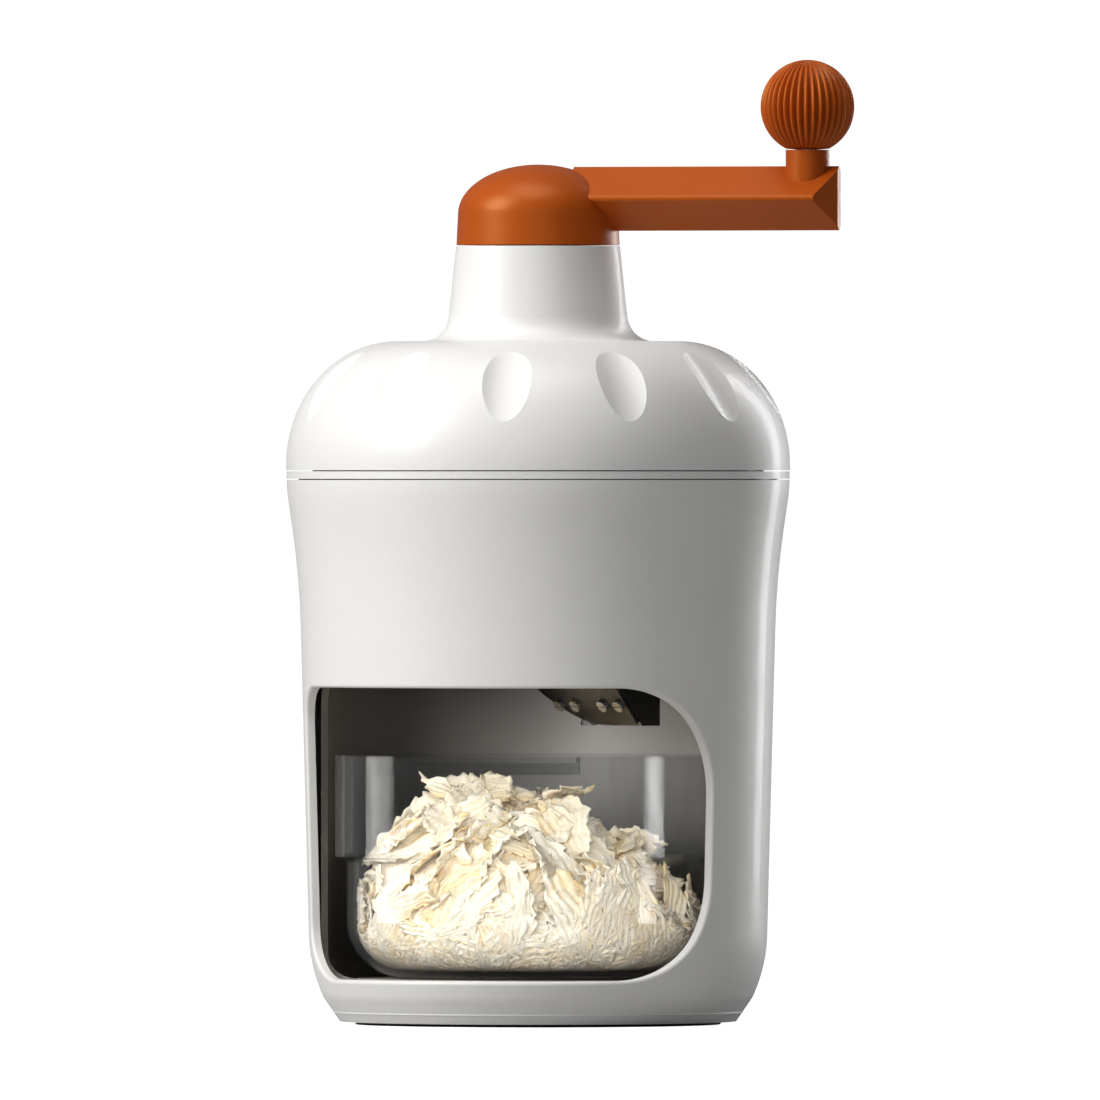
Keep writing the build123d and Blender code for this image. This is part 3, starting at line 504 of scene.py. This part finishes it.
FINISHES = {
    Finish.WHITE: MouldedPlastic(
        "white_shell", rgb(0.78, 0.775, 0.765), rgb(0.74, 0.735, 0.725), 0.42, 0.12, 0.00012, 0.05
    ),
    Finish.ORANGE: MouldedPlastic(
        "orange_crank",
        rgb(0.42, 0.073, 0.006),
        rgb(0.37, 0.062, 0.005),
        0.36,
        0.0,
        0.00014,
        shine=0.5,
        sheen_tint=rgb(1.0, 0.6, 0.22),
    ),
    Finish.LINER: MouldedPlastic(
        "dark_liner", rgb(0.2, 0.19, 0.178), rgb(0.17, 0.16, 0.15), 0.5, 0.0, 0.0002
    ),
    Finish.BLOCK: SmokedPlastic(),
    Finish.CLEAR: ClearPlastic(),
    Finish.STEEL: BrushedSteel(),
    Finish.BLADE: BrushedSteel("blade_steel", rgb(0.07, 0.07, 0.072), rgb(0.1, 0.1, 0.1)),
    Finish.RUBBER: SoftRubber("foot_rubber", rgb(0.02, 0.02, 0.02), rgb(0.07, 0.068, 0.065), 0.65),
    Finish.SILICONE: SoftRubber("seal_silicone", rgb(0.6, 0.6, 0.58), rgb(0.7, 0.69, 0.67), 0.45),
    Finish.BUSH: MouldedPlastic(
        "bush_acetal", rgb(0.66, 0.65, 0.62), rgb(0.61, 0.6, 0.57), 0.34, 0.0, 0.0001, 0.05
    ),
    Finish.ICE: FrozenMilk(),
}


class Palette:
    """Makes each finish's material once and hands it out."""

    def __init__(self) -> None:
        """Starts with nothing made."""
        self._made: dict[Finish, bpy.types.Material] = {}

    def __getitem__(self, finish: Finish) -> bpy.types.Material:
        """The material of a finish, made at its first use."""
        if finish not in self._made:
            self._made[finish] = FINISHES[finish].material()
        return self._made[finish]


# Sub-assemblies -------------------------------------------------------------------


class SubAssembly:
    """Part of the shaver: CAD nodes that it dresses and pieces that it builds."""

    BODY = ""
    WEAR: dict[str, Finish] = {}

    def dress(self, palette: Palette) -> list[str]:
        """Gives each CAD node its finish.

        Args:
            palette: The materials.

        Returns:
            The nodes dressed.
        """
        for node, finish in self.WEAR.items():
            slots = frame["nodes"][node].data.materials
            slots.clear()
            slots.append(palette[finish])
        return list(self.WEAR)

    def build(self, palette: Palette) -> list[str]:
        """Builds the pieces that CAD doesn't give.

        Args:
            palette: The materials.

        Returns:
            The pieces' names; none unless a sub-assembly makes some.
        """
        return []

    def add_piece(
        self, name: str, mesh: bpy.types.Mesh, material: bpy.types.Material, slot: str
    ) -> bpy.types.Object:
        """Puts a mesh into the scene as a smooth piece on this body.

        Args:
            name: The piece's name.
            mesh: Its mesh.
            material: Its material.
            slot: The record's material slot; not used.

        Returns:
            The piece.
        """
        for polygon in mesh.polygons:
            polygon.use_smooth = True
        mesh.materials.append(material)
        piece = bpy.data.objects.new(name, mesh)
        bpy.context.scene.collection.objects.link(piece)
        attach(piece, self.BODY)
        return piece


@dataclass
class Base(SubAssembly):
    """Housing, dark liner, base cover, foot ring and screws."""

    BODY = "base"
    WEAR = {
        "housing": Finish.WHITE,
        "liner": Finish.LINER,
        "base_cover": Finish.WHITE,
        "foot_ring": Finish.RUBBER,
        "base_screws": Finish.STEEL,
    }


@dataclass
class Chamber(SubAssembly):
    """Ice chamber with the blade on its smoked block."""

    BODY = "chamber"
    WEAR = {
        "ice_chamber": Finish.WHITE,
        "blade_block": Finish.BLOCK,
        "blade": Finish.BLADE,
        "blade_screws": Finish.STEEL,
        "block_screws": Finish.STEEL,
    }


@dataclass
class Seal(SubAssembly):
    """Soft ring between the chamber's flange and the lid."""

    BODY = "seal"
    WEAR = {"seal_ring": Finish.SILICONE}


@dataclass
class Lid(SubAssembly):
    """Scalloped dome with the crank's bush."""

    BODY = "lid_body"
    WEAR = {"lid": Finish.WHITE, "crank_bush": Finish.BUSH}


@dataclass
class Crank(SubAssembly):
    """Orange arm with the drive shaft, its washers, clip and spring, and the knob's pin."""

    BODY = "crank"
    WEAR = {
        "crank_arm": Finish.ORANGE,
        "drive_shaft": Finish.STEEL,
        "thrust_washer": Finish.STEEL,
        "spring_washer": Finish.STEEL,
        "shaft_clip": Finish.STEEL,
        "end_washer": Finish.STEEL,
        "end_screw": Finish.STEEL,
        "pressure_spring": Finish.STEEL,
        "knob_pin": Finish.STEEL,
    }

    def dress(self, palette: Palette) -> list[str]:
        """Dresses the nodes and gives the spring a mesh of its own; the spring keeps its rest shape.

        Args:
            palette: The materials.

        Returns:
            The nodes dressed.
        """
        dressed = super().dress(palette)
        low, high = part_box("pressure_spring")
        slide = next(joint for joint in frame["joints"] if joint["name"] == "plate_slide")
        keep = 1.0 - max(slide["range_m"]) / (high.z - low.z)
        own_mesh(frame["nodes"]["pressure_spring"], slide["name"], (0, 0, 1), (0, 0, high.z), keep)
        return dressed


@dataclass
class Knob(SubAssembly):
    """Orange ball with pole-to-pole ribs that stands for the CAD knob."""

    BODY = "knob_body"
    ribs: int = 38
    steps_per_rib: int = 8
    bands: int = 72
    groove_depth: float = 1.7 * MM
    crown_deg: float = 12.0
    mouth_r: float = 3.1 * MM
    mouth_depth: float = 16.0 * MM
    mouth_drop: float = 0.2 * MM

    def rib_height(self, turn: float) -> float:
        """Height of the ribbing round the ball: round crests and sharp valleys.

        Args:
            turn: Angle round the ball in radians.

        Returns:
            0 in a valley, 1 on a crest.
        """
        return abs(math.cos(self.ribs * turn / 2)) ** 0.9

    def build(self, palette: Palette) -> list[str]:
        """Builds the ribbed ball with its flat mouth and the pin's pocket.

        Args:
            palette: The materials.

        Returns:
            The piece's name.
        """
        low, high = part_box("knob")
        radius = (high.x - low.x) / 2
        middle = Vector(((low.x + high.x) / 2, (low.y + high.y) / 2, high.z - radius))
        lowest = math.asin((low.z - middle.z) / radius)
        around = self.ribs * self.steps_per_rib
        mesh = bmesh.new()
        rings = []
        for band in range(self.bands + 1):
            rise = math.pi / 2 + (lowest - math.pi / 2) * band / self.bands
            from_pole = math.degrees(math.pi / 2 - rise)
            fade = min(1.0, max(0.0, (from_pole - self.crown_deg / 3) / self.crown_deg))
            ring = []
            for step in range(around):
                turn = 2 * math.pi * step / around
                reach = radius - self.groove_depth * fade * (1 - self.rib_height(turn))
                out = Vector((math.cos(turn) * math.cos(rise), math.sin(turn) * math.cos(rise), 0))
                ring.append(middle + out * reach + Vector((0, 0, math.sin(rise) * radius)))
            rings.append(ring)
        floor = low.z - self.mouth_drop
        for depth in (0.0, self.mouth_depth):
            rings.append(
                [
                    Vector(
                        (
                            middle.x + self.mouth_r * math.cos(2 * math.pi * step / around),
                            middle.y + self.mouth_r * math.sin(2 * math.pi * step / around),
                            floor + depth,
                        )
                    )
                    for step in range(around)
                ]
            )
        top = mesh.verts.new(middle + Vector((0, 0, radius)))
        rows = [[mesh.verts.new(point) for point in ring] for ring in rings[1:]]
        for step in range(around):
            following = (step + 1) % around
            mesh.faces.new((top, rows[0][step], rows[0][following]))
            for upper, lower in zip(rows, rows[1:]):
                mesh.faces.new((upper[step], lower[step], lower[following], upper[following]))
        mesh.faces.new(rows[-1])
        bmesh.ops.recalc_face_normals(mesh, faces=mesh.faces)
        data = bpy.data.meshes.new("ribbed_knob")
        mesh.to_mesh(data)
        mesh.free()
        piece = self.add_piece("ribbed_knob", data, palette[Finish.ORANGE], Finish.ORANGE.value)
        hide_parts("knob")
        return [piece.name]


@dataclass
class Press(SubAssembly):
    """Spiked plate that turns the ice over the blade."""

    BODY = "plate"
    WEAR = {"press_plate": Finish.WHITE}


@dataclass
class Bowl(SubAssembly):
    """Clear stepped bowl with a hooked grip."""

    BODY = "bowl_body"
    WEAR = {"bowl": Finish.CLEAR}


@dataclass(frozen=True)
class Lobe:
    """One rounded heap of the ice pile, in millimetres from the bowl's middle."""

    across: float
    back: float
    height: float
    radius: float


@dataclass(frozen=True)
class Tear:
    """One kind of torn ice sheet: how many, how fine its mesh is, and its ranges in mm."""

    count: int
    along: int
    wide: int
    length: tuple[float, float]
    width: tuple[float, float]
    pitch: tuple[float, float]
    pleat: tuple[float, float]
    lift: tuple[float, float]
    sunk: float


@dataclass
class IcePile(SubAssembly):
    """Heap of shaved milk ice: torn, pleated sheets over a rough mound."""

    BODY = "bowl_body"
    # Point attribute for painted shade: how deep in a crevice each point sits, which darkens the ice's colour
    # there
    SHADE_DEPTH = "crevice_depth"
    seed: int = 11
    yaw_deg: float = 16.5
    wall_r: float = 47.3
    floor: float = 14.7
    ceiling: float = 53.6
    corner_r: float = 13.0
    against_wall: float = 0.33
    lobes: tuple[Lobe, ...] = (
        Lobe(-14.0, 4.0, 46.5, 31.0),
        Lobe(2.0, 2.0, 45.0, 27.0),
        Lobe(17.0, 0.0, 36.0, 22.0),
        Lobe(-36.0, -3.0, 24.0, 15.0),
        Lobe(31.0, -4.0, 17.0, 17.0),
        Lobe(-8.0, -22.0, 36.0, 24.0),
        Lobe(14.0, -24.0, 26.0, 22.0),
        Lobe(-24.0, -20.0, 28.0, 19.0),
        Lobe(0.0, 24.0, 34.0, 26.0),
    )
    tears: tuple[Tear, ...] = (
        Tear(290, 30, 26, (20.0, 38.0), (8.0, 16.0), (1.3, 2.4), (0.14, 0.36), (0.06, 0.34), 0.95),
        Tear(260, 12, 8, (5.0, 11.0), (2.5, 5.5), (1.2, 2.2), (0.12, 0.3), (0.15, 0.6), 0.98),
    )

    def centre(self) -> Vector:
        """The bowl's middle on its floor, in metres."""
        low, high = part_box("bowl")
        return Vector(((low.x + high.x) / 2, high.y - (high.x - low.x) / 2, self.floor * MM))

    def height(self, across: float, back: float) -> float:
        """Height of the mound over the bowl's floor.

        Args:
            across: Millimetres to the right of the middle, as the front is seen.
            back: Millimetres behind the middle.

        Returns:
            Millimetres over the floor.
        """
        best = 0.0
        for lobe in self.lobes:
            away = ((across - lobe.across) ** 2 + (back - lobe.back) ** 2) / lobe.radius ** 2
            if away < 1.0:
                best = max(best, lobe.height * (1.0 - away) ** 0.35)
        rough = noise.noise(Vector((across, back, 0.0)) * 0.09)
        return max(0.0, best * (1.0 + 0.1 * rough))

    def held_in(self, point: Vector, inset: float = 0.0) -> Vector:
        """Moves a point of the pile back inside the bowl.

        Args:
            point: Millimetres from the bowl's middle on its floor.
            inset: Millimetres to stay further off the bowl's wall and floor.

        Returns:
            The nearest allowed point.
        """
        point.z = min(max(point.z, 0.25 + inset / 2), self.ceiling)
        limit = self.wall_r - inset
        if point.z < self.corner_r:
            drop = self.corner_r - point.z
            limit -= self.corner_r - math.sqrt(self.corner_r ** 2 - drop ** 2)
        reach = math.hypot(point.x, point.y)
        if reach > limit:
            point.x *= limit / reach
            point.y *= limit / reach
        return point

    def mound(self, rings: int = 60, spokes: int = 150) -> tuple[list[Vector], list[tuple[int, ...]], list[float]]:
        """The rough closed mound under the sheets.

        Args:
            rings: Rings from the middle out.
            spokes: Points on each ring.

        Returns:
            Points in millimetres, faces, and each point's amount of painted crevice shade.
        """
        points = [Vector((0, 0, self.height(0, 0) - 1.5)), Vector((0, 0, 0.25))]
        for ring in range(1, rings + 1):
            for spoke in range(spokes):
                turn = 2 * math.pi * spoke / spokes
                reach = self.wall_r * ring / rings
                x = reach * math.cos(turn)
                y = reach * math.sin(turn)
                bumps = noise.fractal(Vector((x, y, 5.0)) * 0.22, 1.0, 2.0, 4)
                z = (self.height(x, y) - 1.5 + 1.6 * bumps) if ring < rings else 0.3
                points.append(self.held_in(Vector((x, y, z)), 4.0))
        faces: list[tuple[int, ...]] = []
        for spoke in range(spokes):
            following = (spoke + 1) % spokes
            faces.append((0, 2 + spoke, 2 + following))
            for ring in range(rings - 1):
                start = 2 + ring * spokes
                inner, outer = start + spoke, start + spokes + spoke
                faces.append((inner, outer, start + spokes + following, start + following))
            last = 2 + (rings - 1) * spokes
            faces.append((last + spoke, 1, last + following))
        # The whole mound under the sheets gets one fixed amount of painted shade
        return points, faces, [0.6] * len(points)

    def normal(self, across: float, back: float) -> Vector:
        """Unit normal of the mound.

        Args:
            across: Millimetres to the right.
            back: Millimetres behind.

        Returns:
            The normal, read over a few millimetres.
        """
        reach = 1.6
        run = self.height(across + reach, back) - self.height(across - reach, back)
        rise = self.height(across, back + reach) - self.height(across, back - reach)
        return Vector((-run, -rise, 2 * reach)).normalized()

    def seat(self, draw: random.Random) -> tuple[Vector, Vector]:
        """Picks a place on the mound, evenly over its slopes.

        Args:
            draw: The seeded source of every choice.

        Returns:
            The place in millimetres and the mound's normal there.
        """
        while True:
            if draw.random() < self.against_wall:
                turn = draw.uniform(0, 2 * math.pi)
                out = Vector((math.cos(turn), math.sin(turn), 0))
                edge = self.wall_r - 2.5
                while edge > 24.0 and self.height(out.x * edge, out.y * edge) < 10.0:
                    edge -= 1.5
                top = self.height(out.x * edge, out.y * edge)
                low = 0.8 + max(0.0, top - 0.8) * draw.random() ** 1.8
                return out * edge + Vector((0, 0, low)), (out + Vector((0, 0, 0.15))).normalized()
            x = draw.uniform(-self.wall_r, self.wall_r)
            y = draw.uniform(-self.wall_r, self.wall_r)
            height = self.height(x, y)
            normal = self.normal(x, y)
            if height > 1.5 and draw.random() < 0.32 / max(0.3, normal.z):
                return Vector((x, y, height * draw.uniform(0.05 if normal.z < 0.4 else 0.95, 1.0))), normal

    def sheet(self, draw: random.Random, tear: Tear) -> tuple[list[Vector], list[float]]:
        """One torn sheet with fine pleats along it, lying on the mound.

        Args:
            draw: The seeded source of every choice.
            tear: Its kind.

        Returns:
            Points in millimetres and each point's amount of painted crevice shade.
        """
        seat, normal = self.seat(draw)
        seat.z *= tear.sunk
        side = normal.cross(Vector((0, 0, 1))) if normal.z < 0.98 else Vector((1, 0, 0))
        side.normalize()
        flow = 1.1 + 2.4 * math.pi * noise.noise(seat * 0.03 + Vector((3, 1, 7)))
        run = Matrix.Rotation(flow + draw.gauss(0, 0.16), 3, normal) @ side
        out = normal.cross(run)
        length = draw.uniform(*tear.length)
        width = draw.uniform(*tear.width)
        pitch = draw.uniform(*tear.pitch)
        pleat = draw.uniform(*tear.pleat)
        lift = draw.uniform(*tear.lift)
        bend = draw.gauss(0.0, 0.018)
        twist = draw.gauss(0, 0.3)
        curl = draw.uniform(0.004, 0.016)
        phase = draw.uniform(0, 2 * math.pi)
        ragged = Vector((draw.uniform(0, 90), draw.uniform(0, 90), 0))
        points = []
        shade_depths = []
        for i in range(tear.along):
            share = 2 * i / (tear.along - 1) - 1
            s = share * length / 2
            taper = 1.0 - 0.5 * abs(share) ** 2.5
            for j in range(tear.wide):
                t = j / (tear.wide - 1)
                span = (t - 0.4) * width * taper
                edge = max(abs(share), abs(2 * t - 1)) ** 8
                torn = noise.noise_vector(ragged + Vector((s * 0.7, span * 0.7, 0))) * 1.6 * edge
                wave = math.sin(2 * math.pi * span / pitch + phase + 1.6 * noise.noise(ragged + Vector((s * 0.12, 0, 0))))
                frill = math.sin(2 * math.pi * s / (2.3 * pitch) + phase) * t ** 3 * pleat * 1.6
                rise = lift * width * t ** 1.8 * 0.8 + pleat * wave + frill + twist * s * (t - 0.5) * 0.2
                fall = -(s ** 2) * curl + 0.5
                point = seat + run * s + out * (span + bend * s * s) + normal * (rise + fall)
                crumple = noise.noise_vector(point * 0.17) * 1.3 + noise.noise_vector(point * 0.9) * 0.2
                relief = 0.7 * (1.0 - wave) + 1.6 * abs(noise.noise(ragged + Vector((s, span, 0)) * 0.2))
                points.append(self.held_in(point + crumple + torn, relief))
                # Painted shade: more towards the sheet's low edge and in the pleats' troughs
                shade_depths.append(min(1.0, 0.55 * (1.0 - t) ** 2 + 0.35 * max(0.0, -wave)))
        return points, shade_depths

    def build(self, palette: Palette) -> list[str]:
        """Builds the mound and its sheets as one thick-skinned piece.

        Args:
            palette: The materials.

        Returns:
            The piece's name.
        """
        draw = random.Random(self.seed)
        points, faces, shade_depths = self.mound()
        for tear in self.tears:
            for _ in range(tear.count):
                start = len(points)
                sheet, depth = self.sheet(draw, tear)
                points.extend(sheet)
                shade_depths.extend(depth)
                for i in range(tear.along - 1):
                    for j in range(tear.wide - 1):
                        corner = start + i * tear.wide + j
                        faces.append((corner, corner + 1, corner + tear.wide + 1, corner + tear.wide))
        turn = Matrix.Rotation(math.radians(self.yaw_deg), 3, "Z")
        centre = self.centre()
        places = [centre + (turn @ point) * MM for point in points]
        data = bpy.data.meshes.new("shaved_ice")
        data.from_pydata(places, [], faces)
        # Stores the painted crevice shade on the mesh for the material to read
        layer = data.attributes.new(self.SHADE_DEPTH, "FLOAT", "POINT")
        layer.data.foreach_set("value", shade_depths)
        piece = self.add_piece("shaved_ice", data, palette[Finish.ICE], Finish.SILICONE.value)
        skin = piece.modifiers.new("thickness", "SOLIDIFY")
        skin.thickness = 0.3 * MM
        skin.offset = 0.0
        return [piece.name]


# Studio ---------------------------------------------------------------------------


@dataclass(frozen=True)
class Softbox:
    """One soft area light."""

    name: str
    bearing_deg: float
    elevation_deg: float
    away: float
    size: tuple[float, float]
    watts: float
    colour: tuple[float, float, float] = (1.0, 1.0, 1.0)
    only_on: tuple[str, ...] = ()


@dataclass
class Studio:
    """Pale floor, soft lights, white surroundings and the camera."""

    azimuth_deg: float = 16.5
    distance: float = 8.0
    lens: float = 976.0
    aim_height: float = 0.1272
    aim_right: float = 0.0032
    eye_height: float = 0.148
    floor_r: float = 1.1
    softboxes: tuple[Softbox, ...] = (
        Softbox("key", -66.0, 30.0, 1.8, (0.9, 1.2), 32.5, (1.0, 0.99, 0.97)),
        Softbox("front_fill", 0.0, 12.0, 2.0, (1.4, 1.0), 2.7),
        Softbox("rim", 140.0, 12.0, 1.3, (0.25, 1.3), 9.0),
        Softbox("overhead", -30.0, 76.0, 1.4, (0.9, 0.9), 8.5),
        Softbox("ice_glow", -8.0, 6.0, 0.9, (1.0, 0.7), 12.5, (1.0, 0.98, 0.94), ("shaved_ice",)),
        Softbox("liner_glow", -38.0, 4.0, 1.0, (0.4, 0.4), 20.0, (1.0, 0.98, 0.96), ("liner",)),
        Softbox("bowl_strip_right", 74.0, 2.0, 0.8, (0.16, 0.7), 10.0, (1.0, 1.0, 1.0), ("bowl",)),
        Softbox("bowl_strip_left", -100.0, 2.0, 0.8, (0.3, 0.7), 9.0, (1.0, 0.97, 0.94), ("bowl",)),
    )

    def stand_camera(self) -> None:
        """Sets up the camera at the front, a little to the crank's side."""
        turn = math.radians(self.azimuth_deg)
        right = Vector((math.cos(turn), math.sin(turn), 0))
        toward = Vector((math.sin(turn), -math.cos(turn), 0))
        target = right * self.aim_right + Vector((0, 0, self.aim_height))
        data = bpy.data.cameras.new("camera")
        data.lens = self.lens
        data.sensor_width = 36.0
        data.clip_end = 50.0
        camera = bpy.data.objects.new("camera", data)
        bpy.context.scene.collection.objects.link(camera)
        camera.location = right * self.aim_right + toward * self.distance + Vector((0, 0, self.eye_height))
        camera.rotation_euler = (target - camera.location).to_track_quat("-Z", "Y").to_euler()
        bpy.context.scene.camera = camera

    def hang_lights(self) -> list[str]:
        """Hangs each softbox, aimed at the shaver's middle.

        Returns:
            The lights' names.
        """
        aim = Vector((0, 0, 0.13))
        for box in self.softboxes:
            data = bpy.data.lights.new(box.name, "AREA")
            data.shape = "RECTANGLE"
            data.size, data.size_y = box.size
            data.energy = box.watts
            data.color = box.colour
            light = bpy.data.objects.new(box.name, data)
            bearing = math.radians(self.azimuth_deg + box.bearing_deg)
            rise = math.radians(box.elevation_deg)
            level = box.away * math.cos(rise)
            offset = Vector((math.sin(bearing) * level, -math.cos(bearing) * level, box.away * math.sin(rise)))
            light.location = aim + offset
            light.rotation_euler = (-offset).to_track_quat("-Z", "Y").to_euler()
            bpy.context.scene.collection.objects.link(light)
            if box.only_on:
                self._limit(light, box.only_on)
        return [box.name for box in self.softboxes]

    @staticmethod
    def _limit(light: bpy.types.Object, pieces: Sequence[str]) -> None:
        """Lets a light fall on some pieces only.

        Args:
            light: The light.
            pieces: The pieces that it lights.
        """
        lit = bpy.data.collections.new(light.name + "_lit")
        for piece in pieces:
            lit.objects.link(bpy.data.objects[piece])
        light.light_linking.receiver_collection = lit

    def light_world(self) -> None:
        """White surroundings for the eye, dim ones for the light they give."""
        world = bpy.data.worlds.new("studio")
        world.use_nodes = True
        tree = world.node_tree
        tree.nodes.clear()
        end = tree.nodes.new("ShaderNodeOutputWorld")
        mix = tree.nodes.new("ShaderNodeMixShader")
        path = tree.nodes.new("ShaderNodeLightPath")
        dim = tree.nodes.new("ShaderNodeBackground")
        seen = tree.nodes.new("ShaderNodeBackground")
        dim.inputs["Color"].default_value = rgb(1.0, 0.99, 0.975)
        dim.inputs["Strength"].default_value = 0.14
        seen.inputs["Color"].default_value = rgb(1, 1, 1)
        seen.inputs["Strength"].default_value = 1.05
        tree.links.new(path.outputs["Is Camera Ray"], mix.inputs[0])
        tree.links.new(dim.outputs[0], mix.inputs[1])
        tree.links.new(seen.outputs[0], mix.inputs[2])
        tree.links.new(mix.outputs[0], end.inputs["Surface"])
        bpy.context.scene.world = world

    def lay_floor(self) -> str:
        """Lays the round pale floor.

        Returns:
            The floor's name.
        """
        mesh = bmesh.new()
        bmesh.ops.create_circle(mesh, cap_ends=True, segments=128, radius=self.floor_r)
        data = bpy.data.meshes.new("floor")
        mesh.to_mesh(data)
        mesh.free()
        recipe = Recipe("pale_floor")
        speck = recipe.grain(recipe.place(), 900.0, 2.0)
        recipe.surface(
            {
                "Base Color": recipe.blend(speck, rgb(0.4, 0.4, 0.4), rgb(0.37, 0.37, 0.37)),
                "Roughness": 0.7,
                "Emission Color": rgb(1, 1, 1),
                "Emission Strength": recipe.node("ShaderNodeLightPath", {}, {}, "Is Camera Ray") * 0.95,
            }
        )
        data.materials.append(recipe.material)
        floor = bpy.data.objects.new("floor", data)
        bpy.context.scene.collection.objects.link(floor)
        floor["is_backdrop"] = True
        return floor.name

    def build(self) -> list[str]:
        """Builds the whole studio.

        Returns:
            What was made.
        """
        self.stand_camera()
        self.light_world()
        bpy.context.scene.view_settings.view_transform = "Standard"
        return [*self.hang_lights(), self.lay_floor(), "camera"]


# Whole shaver ---------------------------------------------------------------------


@dataclass
class IceShaver:
    """All sub-assemblies, in the order in which they are made."""

    parts: list[SubAssembly] = field(
        default_factory=lambda: [
            Base(), Chamber(), Seal(), Lid(), Crank(), Knob(), Press(), Bowl(), IcePile(),
        ]
    )

    def build(self, palette: Palette) -> Iterable[tuple[str, str]]:
        """Dresses and builds every part.

        Args:
            palette: The materials.

        Yields:
            The sub-assembly's name and a piece's name.
        """
        for part in self.parts:
            for piece in (*part.dress(palette), *part.build(palette)):
                yield type(part).__name__, piece


def write_sizes(cad_box: Sequence[Vector]) -> None:
    """Gathers the CAD box and the visual model's box, but writes them nowhere.

    Args:
        cad_box: The box taken straight after the frame was loaded.
    """
    boxes = [[list(corner) for corner in box] for box in (cad_box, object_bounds())]


def main() -> None:
    """Builds the studio and the shaver, and reports each piece."""
    cad_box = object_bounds()
    for assembly, piece in IceShaver().build(Palette()):
        LOG.info("%s: %s", assembly, piece)
    for name in Studio().build():
        LOG.info("studio: %s", name)
    write_sizes(cad_box)


if __name__ == "__main__":
    main()
